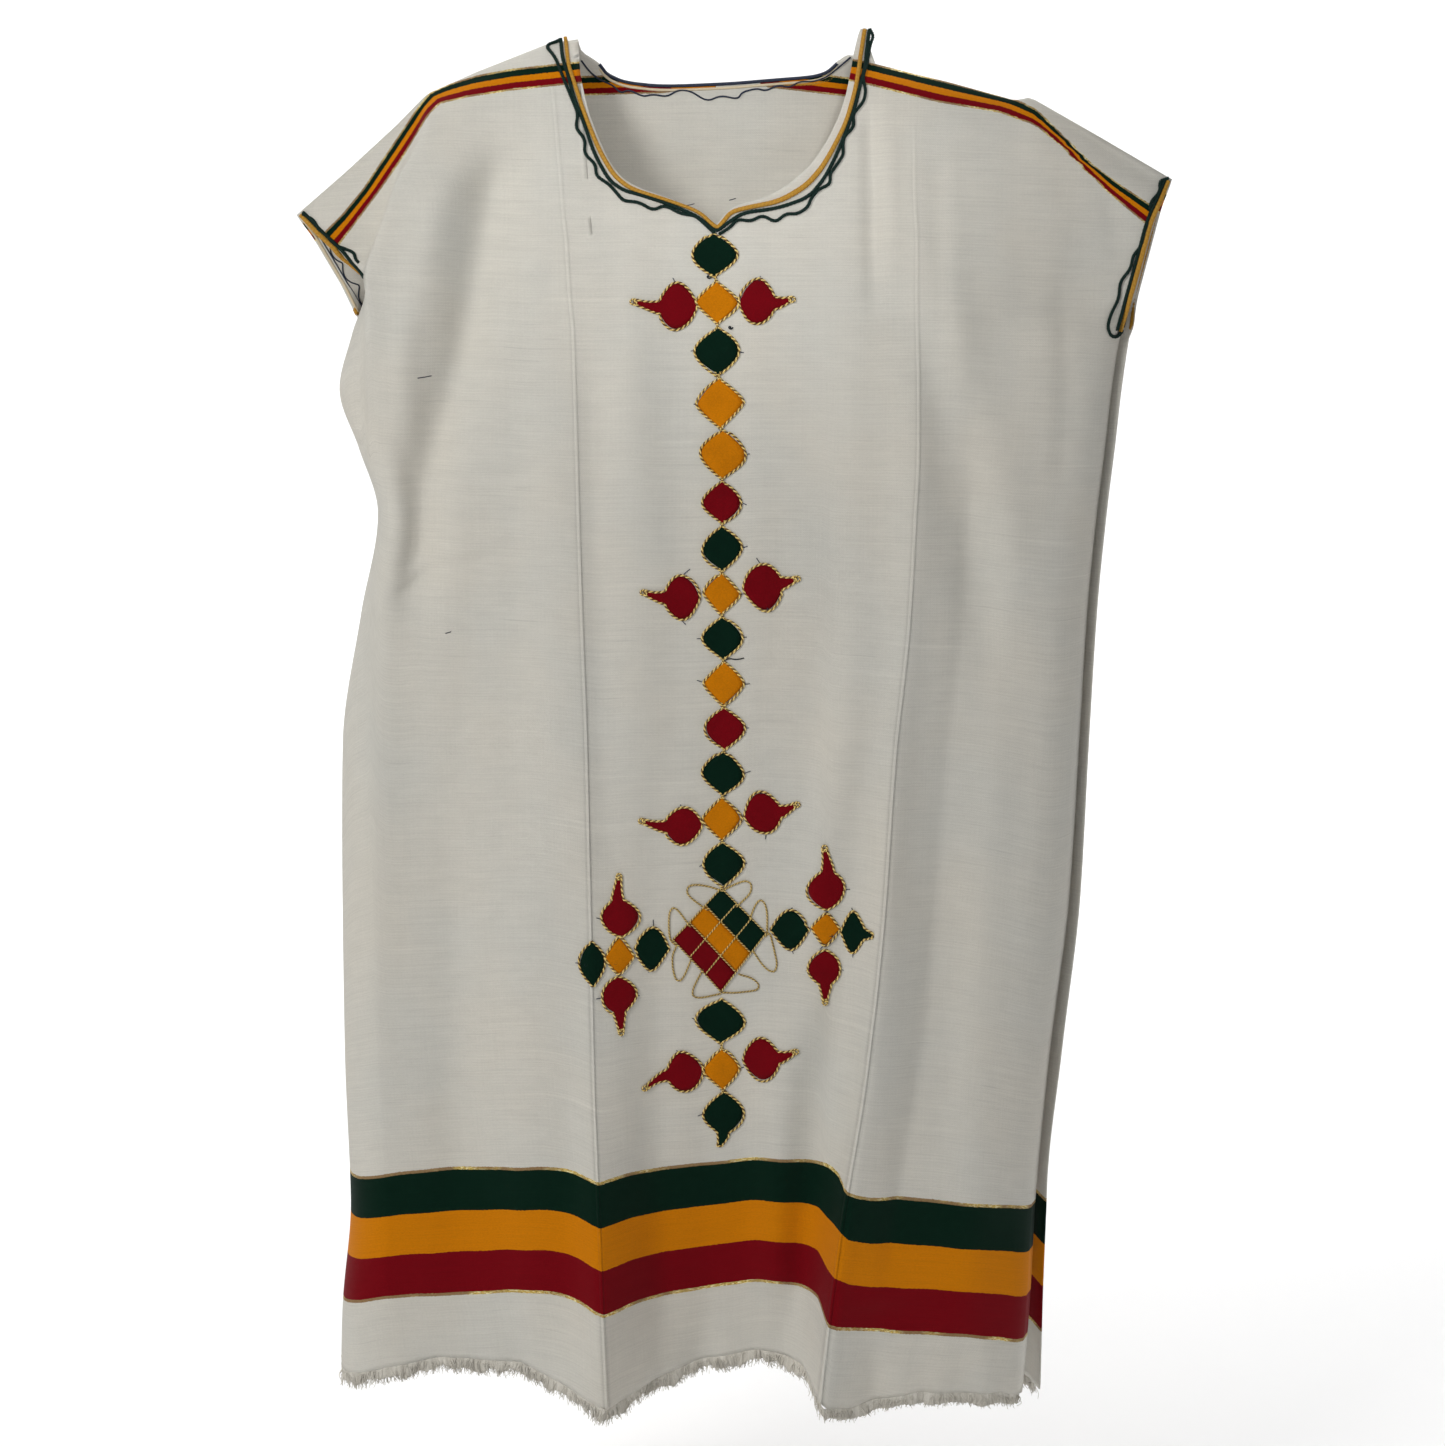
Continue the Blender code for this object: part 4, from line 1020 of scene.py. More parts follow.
Patch = namedtuple(
    "Patch", "name colour x z across along turn shape tail bend", defaults=(0, "round", 0, 0)
)
PATCHES = [
    Patch("diamond_01", "green", -2.2, -161.5, 17.0, 16.4),
    Patch("diamond_02", "yellow", 0.2, -197, 16.0, 16.2, 0, "straight"),
    Patch("diamond_03", "green", 0.6, -233.5, 17.0, 18.0),
    Patch("diamond_04", "yellow", 2.2, -273, 18.0, 19.4, 0, "straight"),
    Patch("diamond_05", "yellow", 4.4, -312, 17.0, 19.0),
    Patch("diamond_06", "red", 4.0, -348.5, 14.5, 16.4),
    Patch("diamond_07", "green", 4.0, -384, 15.0, 17.4),
    Patch("diamond_08", "yellow", 3.6, -419, 14.0, 16.3, 0, "straight"),
    Patch("diamond_09", "green", 4.4, -453.5, 15.0, 17.0),
    Patch("diamond_10", "yellow", 5.4, -489, 16.0, 17.3, 0, "straight"),
    Patch("diamond_11", "red", 6.0, -524.5, 15.0, 17.0),
    Patch("diamond_12", "green", 4.8, -560, 16.0, 17.4),
    Patch("diamond_13", "yellow", 3.8, -596, 15.0, 17.3, 0, "straight"),
    Patch("diamond_14", "green", 4.6, -632, 16.0, 17.8),
    Patch("diamond_15", "green", 3.0, -760.5, 18.5, 18.6),
    Patch("diamond_16", "yellow", 3.8, -800.5, 15.0, 17.3, 0, "straight"),
    Patch("diamond_17", "green", 5.2, -838, 16.0, 19.0, 180, "round", 9, 3),
    Patch("drop_01_left", "red", -30.5, -200, 17.0, 15.5, 92, "drop", 17, 5),
    Patch("drop_01_right", "red", 31.5, -197, 16.5, 14.4, -92, "drop", 11, -3),
    Patch("drop_02_left", "red", -28.0, -422, 17.0, 14.5, 90, "drop", 14, 4),
    Patch("drop_02_right", "red", 36.0, -413, 17.5, 16.0, -84, "drop", 10, -2),
    Patch("drop_03_left", "red", -27.0, -601, 14.5, 15.5, 94, "drop", 16, 6),
    Patch("drop_03_right", "red", 36.5, -592, 16.0, 15.5, -84, "drop", 11, -4),
    Patch("drop_04_left", "red", -26.5, -802.5, 16.5, 15.0, 97, "drop", 17, -7),
    Patch("drop_04_right", "red", 36.0, -791, 16.5, 15.5, -80, "drop", 11, -3),
    Patch("arm_left_inner", "green", -51.5, -699, 17.5, 14.0, 84),
    Patch("arm_left_middle", "yellow", -77, -704, 14.5, 11.5, 90, "straight"),
    Patch("arm_left_upper", "red", -76.5, -672, 14.0, 16.0, 4, "drop", 16, 3),
    Patch("arm_left_lower", "red", -77.5, -735, 13.0, 15.5, 184, "drop", 14, 0),
    Patch("arm_left_outer", "green", -97.5, -708, 9.5, 18.0, 1.3),
    Patch("arm_right_inner", "green", 57.5, -684.5, 15.5, 15.5, -88),
    Patch("arm_right_middle", "yellow", 85, -682.5, 13.0, 11.2, 90, "straight"),
    Patch("arm_right_upper", "red", 86, -650.5, 14.0, 16.5, -4, "drop", 16, -3),
    Patch("arm_right_lower", "red", 85, -715.5, 12.5, 15.0, 182, "drop", 12, 0),
    Patch("arm_right_outer", "green", 107, -685, 16.5, 10.0, -90, "round", 6, 0),
]
BIG_TOP, BIG_RIGHT = (3.5, -651.5), (38.6, -688.0)
BIG_LEFT, BIG_BOTTOM = (-35.0, -692.5), (3.0, -736.5)
BIG_STRIPS = [
    ("big_green", "green", 0.0, 0.33),
    ("big_gold", "yellow", 0.34, 0.66),
    ("big_red", "red", 0.67, 1.0),
]

# The gold thread's open loops round the large diamond, each from a corner out and back to a
# stitch on its side, as x and z.
BIG_LOOPS = [
    [
        (4, -654), (-6, -650.5), (-17, -648.5), (-23, -649.7), (-24, -655), (-20, -660),
        (-11, -667), (-7, -670),
    ],
    [(4, -654), (13, -649), (22, -645.4), (27, -648), (26.6, -655), (22.8, -659.6), (14.5, -667.5)],
    [(25, -679), (27, -673), (29.5, -666.5), (33.2, -661), (37, -662.6), (39.5, -670.4), (39.5, -688)],
    [
        (38, -691), (41.5, -687), (44.3, -698), (47.7, -713), (45.8, -719.4), (41, -718.8),
        (35, -713), (28, -702),
    ],
    [(17, -722), (27.6, -725), (33.4, -730), (32.4, -734.5), (26.8, -736), (13, -737.6), (3, -737)],
    [
        (3, -738), (-8, -740.6), (-15.5, -741.3), (-19.7, -739.2), (-19.3, -733.6), (-14.5, -723.9),
        (-11, -718),
    ],
    [
        (-32, -698), (-35.5, -706), (-35, -717), (-32.6, -726), (-28.8, -727), (-25.3, -721.4),
        (-20, -708),
    ],
    [
        (-32, -698), (-37.3, -693), (-38, -681), (-37.7, -671), (-35.3, -666.5), (-31.4, -667.6),
        (-21, -683),
    ],
]


def half_width(shape, along):
    """A patch's half width, as a share of its widest, at shares along it from -1 to 1."""
    if shape == "straight":
        return np.clip(1 - np.abs(along) ** 1.3, 0, 1)
    if shape == "drop":
        return np.clip(1 - along**2, 0, 1) ** np.where(along > 0, 0.85, 0.74)
    return np.clip(np.cos(math.pi * along / 2), 0, 1)


def patch_frame(patch, number):
    """The patch's axis and the way across it, with the small tilt of hand-laid pieces."""
    turn = math.radians(patch.turn + 2.0 * math.sin(2.6 * number))
    axis = np.array([-math.sin(turn), math.cos(turn)])
    return axis, np.array([axis[1], -axis[0]])


def patch_spots(patch, number, stations=23, lanes=9):
    """A grid of x and z over the patch, and the outline round it."""
    axis, across = patch_frame(patch, number)
    length = patch.along - 0.5
    at = np.sin(np.linspace(-math.pi / 2, math.pi / 2, stations))
    widths = np.maximum(half_width(patch.shape, at), 1.0 / patch.across)
    rows = [(a * length, w, 0.0) for a, w in zip(at, widths)]
    if patch.tail:
        for share in (0.2, 0.4, 0.6, 0.8, 1.0):
            width = (2.0 + 2.8 * (1 - share) ** 1.6) / patch.across
            rows.append((length + patch.tail * share, width, patch.bend * share**1.5))
        least = 4.6 / patch.across
        rows = [
            (along, max(width, least) if length >= along > 0.6 * length else width, bend)
            for along, width, bend in rows
        ]
    grid = []
    for along, width, bend in rows:
        row = []
        for lane in np.linspace(-1, 1, lanes):
            phase = 3.1 * along / length + 1.9 * number + 1.3 * np.sign(lane)
            side = lane * width * patch.across * (1 + 0.05 * math.sin(phase)) + bend
            row.append(np.array([patch.x, patch.z]) + axis * along + across * side)
        grid.append(row)
    grid = np.array(grid)
    outline = np.concatenate([grid[:, 0], grid[-1, 1:-1], grid[::-1, -1], grid[0, -2:0:-1]])
    return grid, outline


def lay_cloth(grid, dyes, node, colour, crown=0.5):
    """A cut piece of cloth on the front panel, with its edges turned down to it."""
    rows, lanes = grid.shape[:2]
    across = np.linspace(-1, 1, lanes)[None, :]
    along = np.linspace(-1, 1, rows)[:, None]
    swell = (1 - across**2) * (1 - along**4)
    edge = np.minimum(1 - np.abs(across), (1 - np.abs(along)) * 2)
    height = LIFT + 0.35 + 0.65 * ease(edge / 0.22) + crown * swell
    outer, _ = raised(FRONT, grid, height)
    inner, _ = raised(FRONT, grid, 0.15)
    points = np.concatenate([outer.reshape(-1, 3), inner.reshape(-1, 3)])
    name = f"applique_{node}"
    mesh = bpy.data.meshes.new(name)
    mesh.from_pydata((points * MM).tolist(), [], wall_faces(rows, lanes).tolist())
    mesh.update()
    piece = finish_piece(name, mesh, dyes[colour])
    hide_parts(node)
    return piece


def couch(pile, panel, spots, height, radius=0.55, pitch=2.6, closed=False, tone=0.5):
    """A twisted thread laid on a panel along a path of x and z, one ply painted bright and one painted
    dark, as highlight and shade on the twist.
    """
    points, normals = raised(panel, spots, height)
    pile.twist(points, normals, radius, pitch, closed, tone, ply_highlight_and_shade=0.9)


def build_appliques(dyes, gold):
    """The cut pieces on the front, and the gold thread round and between them."""
    pieces = []
    for number, patch in enumerate(PATCHES):
        grid, outline = patch_spots(patch, number)
        pieces.append(lay_cloth(grid, dyes, patch.name, patch.colour))
        axis, across = patch_frame(patch, number)
        middle = np.array([patch.x, patch.z])
        path = smooth_path(outline, 1.4, closed=True)
        away = path - middle
        reach = np.linalg.norm(away, axis=1, keepdims=True)
        turn = np.arctan2(away[:, 1], away[:, 0])
        loose = 0.35 + 1.3 * np.clip(np.sin(turn + 1.7 * number), 0, 1) ** 3
        near_body = (away @ axis < patch.along * 0.8)[:, None]
        path = path + away / reach * loose[:, None] * near_body
        tone = 0.5 + 0.08 * math.sin(number)
        couch(gold, FRONT, path, 1.0, 0.95, 4.4, closed=True, tone=tone)
        if patch.tail and patch.shape == "drop":
            tip = middle + axis * (patch.along + patch.tail - 1) + across * patch.bend
            turns = np.linspace(0, 2 * math.pi, 14, endpoint=False)
            ring = [tip + axis * (1.2 + 2.4 * math.cos(t)) + across * 2.0 * math.sin(t) for t in turns]
            couch(gold, FRONT, np.array(ring), 1.1, 0.75, 2.4, closed=True, tone=0.6)
    for run in (PATCHES[:14], PATCHES[14:17]):
        for upper, lower in zip(run[:-1], run[1:]):
            above = np.array([upper.x, upper.z - upper.along + 2.2])
            below = np.array([lower.x, lower.z + lower.along - 2.2])
            for side in (-1, 1):
                spots = [above + (2.1 * side, 0), (above + below) / 2, below - (2.1 * side, 0)]
                couch(gold, FRONT, smooth_path(spots, 0.9), 1.5, 0.6, 2.4, tone=0.5)
    for name, colour, start, end in BIG_STRIPS:
        along, across = np.meshgrid(np.linspace(0, 1, 25), np.linspace(start, end, 7), indexing="ij")
        grid = on_big_diamond(along, across)
        pieces.append(lay_cloth(grid, dyes, name, colour, 0.2))
    line = np.linspace(0, 1, 40)
    for across in (0.0, 0.335, 0.665, 1.0):
        couch(gold, FRONT, on_big_diamond(line, np.full(40, across)), 1.2, 0.62, 2.9, tone=0.45)
    for along in (0.0, 0.34, 0.67, 1.0):
        couch(gold, FRONT, on_big_diamond(np.full(40, along), line), 1.5, 0.62, 2.9, tone=0.5)
    for k, loop in enumerate(BIG_LOOPS):
        path = smooth_path(loop, 1.3)
        points, normals = raised(FRONT, path, 0.75)
        # The loops' plies get a painted highlight and painted shade.
        gold.twist(points, normals, 0.72, 2.6, tone=0.42 + 0.06 * math.sin(k), ply_highlight_and_shade=0.5)
    return pieces


def on_big_diamond(along, across):
    """x and z on the large diamond: along its strips and across them."""
    along, across = np.asarray(along)[..., None], np.asarray(across)[..., None]
    upper = np.array(BIG_TOP) * (1 - along) + np.array(BIG_RIGHT) * along
    lower = np.array(BIG_LEFT) * (1 - along) + np.array(BIG_BOTTOM) * along
    return upper * (1 - across) + lower * across


CORD_RADIUS = 1.5
NECK_BRAID = [
    (-115.5, 1.5), (-112.3, -21), (-108.6, -31.5), (-99.6, -58.4), (-88.6, -84.5), (-77.8, -102.2),
    (-65, -112.4), (-36, -121), (-13.5, -129.2), (-0.3, -141.5), (3, -139), (10.4, -129.8),
    (19.4, -126.9), (47.8, -121.5), (67.6, -110), (79.3, -97.2), (87.8, -83), (98.4, -62),
    (105.2, -38), (108.2, -20.5), (110, -10), (112.6, 7),
]
NECK_CORD = [
    (-119.1, 0.5), (-117, -15.6), (-112.6, -28), (-108.4, -44), (-101.2, -61.7), (-92.8, -86.2),
    (-81.5, -106), (-70, -113.5), (-60, -116), (-35, -124), (-14, -133), (-1, -144.5), (7, -138.6),
    (19.4, -130), (46.3, -126.6), (69.5, -118.5), (81.5, -104.5), (89.2, -90), (97.8, -70.4),
    (104.8, -51), (109.2, -33.3), (113, -19), (114.9, -3), (116.4, 7.4),
]
NECK_WAVES = [
    [
        (-119.1, 0), (-130.5, -5.6), (-123, -14), (-119.5, -22), (-114.5, -34), (-109.5, -45.8),
        (-105, -56.4), (-106.9, -66.9), (-99.6, -75.7), (-100.4, -86.2), (-91.8, -94),
        (-91.4, -102.6), (-81.8, -108.6), (-76, -114.8), (-71, -121), (-59.3, -122),
        (-48.6, -128.2), (-39.7, -124.2), (-27.2, -130.8), (-16.6, -132), (-8, -139.5), (-1, -146),
    ],
    [
        (116.6, 7.6), (119.4, 2.3), (117.2, -3), (115.6, -11.8), (114.3, -19), (110.4, -29),
        (113, -38.6), (111.6, -46.4), (105.8, -53.6), (103.4, -57), (104, -66), (96.4, -73.4),
        (95.6, -80), (96, -87), (89, -97), (86, -101), (86, -108.6), (77.4, -112.6), (72, -118.4),
        (68.6, -126.4), (60.6, -131), (52.5, -130.6), (44.5, -137.2), (34.6, -131.8),
        (25.6, -136.4), (15.8, -134.8), (10, -141), (2, -146),
    ],
]
BACK_NECK_WAVE = [
    (-104, -15), (-98.4, -22.7), (-91.3, -28.8), (-80.4, -33.3), (-74.2, -39.4), (-67.8, -36.8),
    (-56.9, -42.1), (-49.6, -40.3), (-38.6, -42.1), (-29.5, -36.8), (-20.4, -37.7), (-7.7, -45.6),
    (3.1, -41.2), (16, -43.9), (19.6, -38.6), (30.5, -35.9), (37.8, -37.7), (46.9, -33.3),
    (56, -35), (63.2, -30.7), (74.1, -30.7), (84.8, -27.2), (102, -13),
]
CUFF_WAVES = {
    ("front", "left"): [
        [(-320, -132), (-310.3, -135.5), (-306, -142), (-305.6, -147), (-292.8, -155), (-285.2, -158)],
        [(-285.2, -158), (-278.6, -161), (-276.6, -166), (-274, -168)],
    ],
    ("front", "right"): [
        [(347, -104), (340, -106.5), (339.6, -115), (332.6, -121.8), (332, -127)],
        [
            (331, -138), (329.5, -146), (326.4, -155), (320, -162.4), (318.4, -172.5),
            (310.4, -182.6), (309.8, -195.3), (303, -208), (300.5, -217), (303.5, -224),
            (309, -225), (313.4, -220),
        ],
    ],
}


def beside(path):
    """The direction to the right of a path's run, which is out of the neck's opening."""
    steps = np.gradient(path, axis=0)
    padded = np.pad(steps, ((4, 4), (0, 0)), "edge")
    steps = np.stack([np.convolve(padded[:, i], np.ones(9) / 9, "valid") for i in (0, 1)], axis=1)
    steps /= np.linalg.norm(steps, axis=1)[:, None]
    return np.stack([steps[:, 1], -steps[:, 0]], axis=1)


def scalloped(path, below, period, depth, phase):
    """A path with uneven scallops on one side, which touch it between them."""
    at = np.concatenate([[0], np.cumsum(np.linalg.norm(np.diff(path, axis=0), axis=1))])
    drift = at + 3.2 * np.sin(at / 37 + phase) + 2.0 * np.sin(at / 13.7 + 2 * phase)
    wave = 0.5 - 0.5 * np.cos(2 * math.pi * drift / period)
    size = 1 + 0.28 * np.sin(at / 29 + 1.7 * phase) + 0.15 * np.sin(at / 9.1)
    along = np.stack([-below[:, 1], below[:, 0]], axis=1)
    lean = -1.6 * np.sin(2 * math.pi * drift / period)
    return path + below * (0.8 + depth * wave * size)[:, None] + along * lean[:, None]


def cuff_path(cuff, away):
    path = smooth_path(cuff, 1.2)[2:-2]
    side = beside(path)
    if cuff[0][0] < 0:
        side = -side
    return path + side * away, side


def trim_piece(node, panel, path, radius, materials):
    """A braid of three plies or a cord of two, in place of the part's node of that name."""
    braided = "braid" in node
    pile = Pile()
    points, normals = raised(panel, path, 0.6)
    tone, plies = (0.5, 3) if braided else (0.45, 2)
    # The plies get a painted highlight and painted shade.
    pile.twist(points, normals, radius, 3.0, tone=tone, sides=5, plies=plies, ply_highlight_and_shade=0.25)
    piece = pile.make(f"trim_{node}", materials["braid" if braided else "cord"])
    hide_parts(node)
    return piece


def build_trims(materials):
    """The braids, cords and wavy cords along the neck and the cuffs."""
    pieces = []
    waves = {"front": Pile(), "back": Pile()}
    for panel in (FRONT, BACK):
        if panel.side == "front":
            braid, cord = smooth_path(NECK_BRAID, 1.2), smooth_path(NECK_CORD, 1.2)
            wave_paths = [smooth_path(wave, 1.1) for wave in NECK_WAVES]
        else:
            edge = smooth_path(BACK_NECK, 1.2)[4:-4]
            below = beside(edge)
            share = np.linspace(-1, 1, len(edge))[:, None] ** 2
            braid = edge + below * (3.4 + 5.0 * share)
            cord = edge + below * (6.6 + 5.0 * share)
            wave_paths = [scalloped(cord, below, 21.0, 8.0, 0.7)]
        wide = 1.6 + 0.7 * np.exp(-(((braid[:, 0] - 70) / 26) ** 2)) + 0.2 * np.sin(braid[:, 0] / 17)
        name = panel.side
        pieces.append(trim_piece(f"neck_braid_{name}", panel, braid, wide, materials))
        pieces.append(trim_piece(f"neck_cord_{name}", panel, cord, CORD_RADIUS, materials))
        for side, cuff in (("left", panel.cuff_left), ("right", panel.cuff_right)):
            braid, _ = cuff_path(cuff, 2.0)
            cord, inward = cuff_path(cuff, 5.0)
            wide = 1.5 + 0.6 * np.sin(np.linspace(0.2, 2.9, len(braid)))
            pieces.append(trim_piece(f"cuff_braid_{name}_{side}", panel, braid, wide, materials))
            pieces.append(trim_piece(f"cuff_cord_{name}_{side}", panel, cord, CORD_RADIUS, materials))
            given = CUFF_WAVES.get((name, side))
            if given:
                wave_paths += [smooth_path(wave, 1.1) for wave in given]
            else:
                wave_paths.append(scalloped(cord, inward, 19.0, 6.0, 1.9))
        for path in wave_paths:
            points, normals = raised(panel, path, 0.75)
            # The wavy cord's plies get a painted highlight and painted shade.
            waves[name].twist(points, normals, 1.35, 3.4, tone=0.42, sides=5, ply_highlight_and_shade=0.3)
    for name, pile in waves.items():
        wave_piece = pile.make(f"trim_wavy_cord_{name}", materials["cord"])
        pieces.append(wave_piece)
    return pieces


def inside(path, height):
    """Points a height above the back panel's inner face along a path, and the way inward."""
    x, z = path[:, 0], path[:, 1]
    normal = outward(BACK, x, z)
    return surface(BACK, x, z) - normal * (WALL / 2 + height), -normal


def build_inside_stitches(material, edging):
    """What shows of the trims on the inside of the back's neck and sleeves."""
    pile = Pile()
    cord = smooth_path([(x, z - 0.4) for x, z in BACK_NECK[3:-2]], 1.2)
    paths = [(smooth_path(BACK_NECK_WAVE, 1.1), 0.75), (cord, 1.35)]
    for cuff in (BACK.cuff_left, BACK.cuff_right):
        line, inward = cuff_path(cuff, 5.0)
        paths += [(scalloped(line, inward, 19.0, 6.0, 1.9), 0.55), (line, 0.5)]
    for path, radius in paths:
        spots, inward = inside(path, 0.25)
        pile.tube(spots, radius, 5, tone=0.3, normals=inward)
    piece = pile.make("trim_inside_stitches", material)
    turned = Pile()
    under_edge = smooth_path([(x, z - 3.6) for x, z in BACK_NECK[3:-2]], 1.2)
    for path in (under_edge, cuff_path(BACK.cuff_left, 2.2)[0]):
        spots, inward = inside(path, 0.1)
        turned.tube(spots, 1.1, 6, tone=0.7, squash=0.4, normals=inward)
    tan = turned.make("trim_inside_edging", edging)
    return [piece, tan]


STRANDS = {"front": 1700, "back": 1100}


def build_fringe(panel, material):
    """The hem's loose warp threads: a matted web on the cut edge and locks that hang from it."""
    front = panel.side == "front"
    chance = np.random.default_rng(7 if front else 11)
    pile = Pile()
    start, end = panel.hem[0][0] + 2, panel.hem[-1][0] - 2
    across = np.arange(start, end, 1.0)
    count = len(across)
    calm = 0.45 + 0.55 * ease((86 - across) / 12) if front else np.ones(count)
    waves = 1.7 * np.sin(across / 8.3) + 1.3 * np.sin(across / 3.1 + 1)
    foot = 9.8 + calm * waves + chance.normal(0, 0.9, count) * calm
    rows = np.linspace(0, 1, 5)
    base = broken(panel.hem, across)
    hem = surface(panel, across, base + 1.5)
    outer = np.repeat(hem[None], len(rows), axis=0)
    outer[..., 2] = base + 0.3 - rows[:, None] * foot
    lean = 1.5 * np.sin(across / 6 + 1) + chance.normal(0, 0.5, count)
    outer[..., 0] += rows[:, None] ** 1.5 * lean
    sway = 0.5 * np.sin(across / 2.3) + 0.7 * np.sin(across / 7.7 + 2) + chance.normal(0, 0.25, count)
    outer[..., 1] += rows[:, None] * sway
    inner = outer.copy()
    outer[..., 1] -= 0.55 * (1 - 0.6 * rows[:, None])
    inner[..., 1] += 0.55 * (1 - 0.6 * rows[:, None])
    tones = np.clip(0.45 + 0.16 * np.sin(across / 1.9) + chance.normal(0, 0.13, count), 0, 1)
    web_tones = np.tile(tones, 2 * len(rows)) - np.tile(np.repeat(rows * 0.12, count), 2)
    web = np.concatenate([outer.reshape(-1, 3), inner.reshape(-1, 3)])
    pile.add(web, wall_faces(len(rows), count)[:, ::-1].tolist(), web_tones)
    for _ in range(STRANDS[panel.side]):
        x = chance.uniform(start, end)
        short = 0.72 if front and x > 82 else 1.0
        lock = 2.2 * math.sin(x / 8.3) + 1.6 * math.sin(x / 3.1 + 1)
        root = surface(panel, x, broken(panel.hem, x) + 1.5)
        root[2] = broken(panel.hem, x) + chance.uniform(-4.5, 0.2)
        root[1] += chance.normal(0, 0.6)
        length = np.clip(9.5 + lock * 0.6 + chance.normal(0, 1.8), 4, 13.0) * short
        length = min(length, 14.5 + root[2] - broken(panel.hem, x))
        lean = 1.5 * math.sin(x / 6 + 1) + chance.normal(0, 1.5)
        curl, sway = chance.normal(0, 1.2), chance.normal(0, 0.9)
        at = np.linspace(0, 1, 5)
        bend = [lean * at**1.3 + curl * np.sin(math.pi * at), sway * at, -length * at]
        radius = np.linspace(0.42, 0.22, 5) * chance.uniform(0.7, 1.3)
        tone = float(np.clip(chance.normal(0.55, 0.2), 0, 1))
        pile.tube(root + np.stack(bend, axis=1), radius, 3, tone=tone)
    piece = pile.make(f"fringe_{panel.side}", material)
    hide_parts(f"{panel.side}_fringe")
    return piece


# Knots between the appliques, stray fibres with their half lengths, and one long thread end.
KNOTS = [
    (-7, -178), (-103, -709), (-81, -709), (88, -688), (118, -687), (4, -640), (8, -216), (3, -577),
]
FIBRES = [(-224, -253.6, 5), (-208, -450, 2.2), (-20, -124, 3), (12, -120, 2.5)]
LONG_END = [(6, -471), (10, -469.5), (15, -470.5), (21, -469)]


def build_loose_ends(dark):
    """Short thread ends left at the appliques' points, and the knots between them."""
    chance = np.random.default_rng(3)
    pile = Pile()
    for number, patch in enumerate(PATCHES):
        axis, across = patch_frame(patch, number)
        middle = np.array([patch.x, patch.z])
        for side in (-1, 1):
            if chance.uniform() < 0.35:
                continue
            start = middle + across * side * (patch.across - 0.5)
            way = across * side + axis * chance.normal(0, 0.5)
            spots = [start + way * d for d in np.linspace(0, chance.uniform(2.5, 6.0), 4)]
            points, normals = raised(FRONT, spots, [1.0, 0.6, 0.4, 0.5])
            pile.tube(points, 0.3, 4, tone=chance.uniform(0.2, 0.9), normals=normals)
    for k, (x, z) in enumerate(KNOTS):
        turns = np.linspace(0, 7, 9) + k
        spots = [(x + 1.1 * math.cos(t) + 0.25 * t, z + 0.9 * math.sin(t)) for t in turns]
        points, normals = raised(FRONT, spots, 1.2)
        pile.tube(points, 0.55, 4, tone=0.1, normals=normals)
    for x, z, long in FIBRES:
        spots = [(x - long, z - 0.6), (x, z), (x + long, z + 0.8)]
        points, normals = raised(FRONT, spots, 0.15)
        pile.tube(points, 0.35, 4, tone=0.25, normals=normals)
    points, normals = raised(FRONT, smooth_path(LONG_END, 1.5), 0.6)
    pile.tube(points, 0.45, 4, tone=0.05, normals=normals)
    piece = pile.make("loose_ends", dark)
    return piece


def area_light(name, place, target, size, power, colour=(1, 1, 1)):
    light = bpy.data.lights.new(name, "AREA")
    light.shape = "RECTANGLE"
    light.size, light.size_y = size
    light.energy = power
    light.color = colour
    obj = bpy.data.objects.new(name, light)
    bpy.context.scene.collection.objects.link(obj)
    aim(obj, place, target)


def spot_light(name, place, target, degrees, power):
    """A soft-edged spot, for light that has to reach inside the neck."""
    light = bpy.data.lights.new(name, "SPOT")
    light.spot_size = math.radians(degrees)
    light.spot_blend = 1.0
    light.shadow_soft_size = 0.12
    light.energy = power
    obj = bpy.data.objects.new(name, light)
    bpy.context.scene.collection.objects.link(obj)
    aim(obj, place, target)


def aim(obj, place, target):
    obj.location = place
    obj.rotation_euler = (Vector(target) - Vector(place)).to_track_quat("-Z", "Y").to_euler()


def build_stage():
    """A plain pale floor that sweeps up into the backdrop."""
    floor_z, back_y, radius, reach = -1.32, 4.3, 1.2, 9.0
    profile = [(-reach, floor_z), (back_y - radius, floor_z)]
    for turn in np.linspace(0, math.pi / 2, 16)[1:]:
        y = back_y - radius + radius * math.sin(turn)
        profile.append((y, floor_z + radius - radius * math.cos(turn)))
    profile.append((back_y, 5.0))
    points = [(x, y, z) for x in (-reach, reach) for y, z in profile]
    count = len(profile)
    faces = [[k, k + 1, count + k + 1, count + k] for k in range(count - 1)]
    mesh = bpy.data.meshes.new("stage_sweep")
    mesh.from_pydata(points, [], faces)
    mesh.update()
    s = Shader("pale_paper")
    place = s.node("ShaderNodeTexCoord").outputs["Object"]
    clouds = s.noise(place, (1.5, 1.5, 1.5), 2.0)
    s.put(s.mix(clouds, srgb(250, 250, 250), srgb(244, 244, 244)), s.surface.inputs["Base Color"])
    s.set(Roughness=0.95)
    mesh.materials.append(s.material)
    mesh.shade_smooth()
    obj = bpy.data.objects.new("stage_sweep", mesh)
    bpy.context.scene.collection.objects.link(obj)


CAMERA_PLACE = (0.0043, -2.3, -0.10)
PITCH_DOWN = 10.6
LENS, SENSOR = 73.2, 36.0


def build_camera():
    camera = bpy.data.cameras.new("camera")
    camera.sensor_width = SENSOR
    camera.lens = LENS
    obj = bpy.data.objects.new("camera", camera)
    bpy.context.scene.collection.objects.link(obj)
    obj.location = CAMERA_PLACE
    obj.rotation_euler = (math.radians(90 - PITCH_DOWN), 0, 0)
    bpy.context.scene.camera = obj


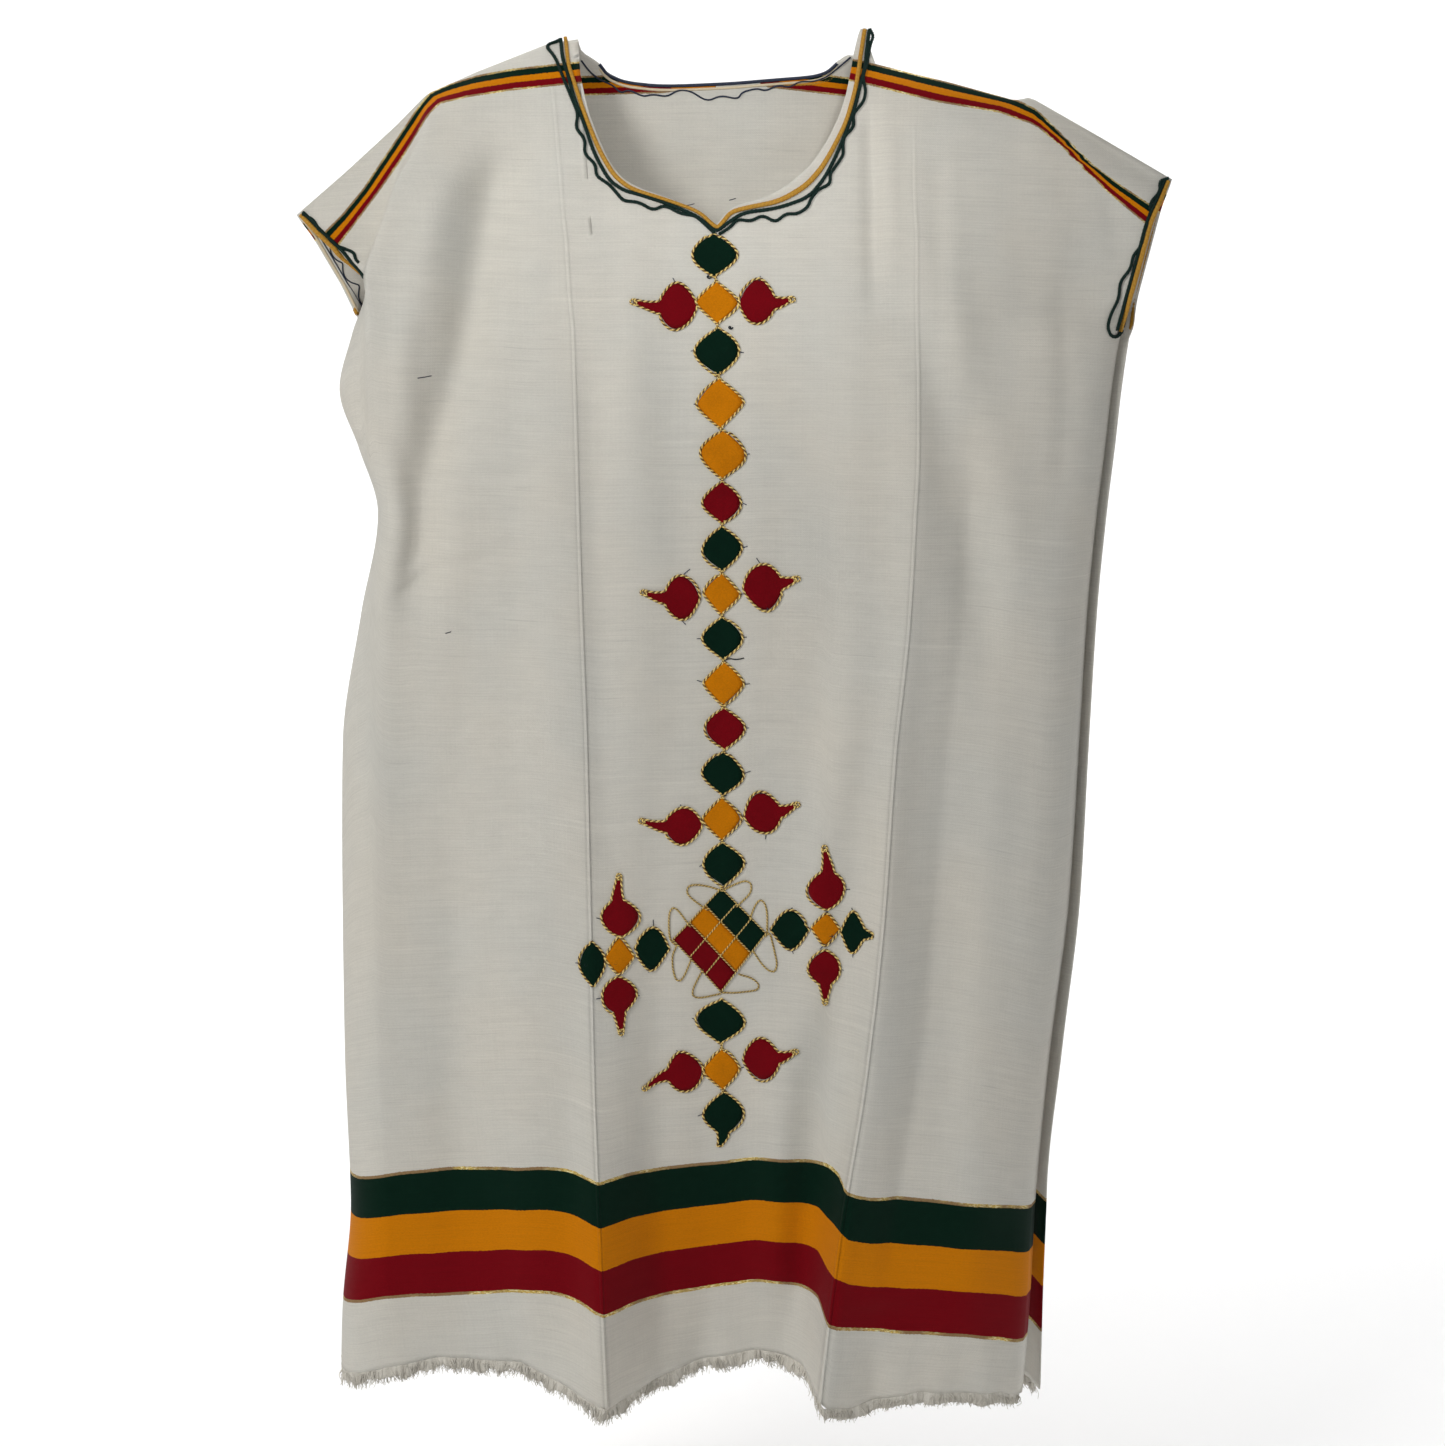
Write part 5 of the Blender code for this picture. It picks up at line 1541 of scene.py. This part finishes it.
def main():
    cotton = cotton_material()
    dyes = {
        "green": dyed_material("green_cotton", GREEN),
        "yellow": dyed_material("yellow_cotton", YELLOW),
        "red": dyed_material("red_cotton", RED),
    }
    gold_thread = thread_material("gold_thread", srgb(92, 58, 22), srgb(255, 226, 140), 0.05, 0.5)
    threads = {
        "braid": thread_material("gold_braid", srgb(150, 98, 22), srgb(212, 164, 60), 0.0, 0.7),
        "cord": thread_material("green_cord", srgb(0, 18, 15), srgb(8, 50, 42), 0.0, 0.85),
    }
    inside_edge = thread_material("inside_edge", srgb(196, 176, 140), srgb(226, 212, 184), 0.0, 0.85)
    warp_ends = thread_material("warp_ends", srgb(192, 187, 176), srgb(234, 230, 220), 0.0, 0.95)
    dark = thread_material("dark_thread", srgb(6, 20, 22), srgb(70, 78, 110), 0.0, 0.7)

    front, front_area = build_panel(FRONT, cotton)
    back, back_area = build_panel(BACK, cotton)
    gold = Pile()
    appliques = build_appliques(dyes, gold)
    gold_piece = gold.make("gold_couching", gold_thread)
    trims = build_trims(threads)
    stitches = build_inside_stitches(dark, inside_edge)
    fringes = [build_fringe(panel, warp_ends) for panel in (FRONT, BACK)]
    loose = build_loose_ends(dark)

    build_stage()
    build_camera()
    area_light("key", (-1.5, -1.8, 0.62), (0, 0, -0.5), (0.8, 0.8), 30.5, (1.0, 0.99, 0.965))
    area_light("front", (0.4, -2.3, 0.9), (0, 0, -0.2), (1.2, 1.0), 4.4)
    area_light("fill", (2.3, -0.5, -0.4), (0.2, 0, -0.5), (1.2, 1.4), 5)
    area_light("top", (0.0, -0.9, 1.9), (0, 0, -0.3), (1.6, 1.0), 4)
    area_light("backdrop", (0.0, 2.0, 3.1), (0, 4.0, -0.3), (6.0, 1.6), 250)
    spot_light("neck", (0.3, -1.55, 0.32), (0, 0.03, -0.095), 18, 27)
    world = bpy.data.worlds.new("room")
    world.use_nodes = True
    sky = world.node_tree.nodes["Background"].inputs
    sky["Color"].default_value = (1.0, 1.0, 1.0, 1.0)
    sky["Strength"].default_value = 0.13
    bpy.context.scene.world = world
    bpy.context.scene.view_settings.view_transform = "Standard"


main()
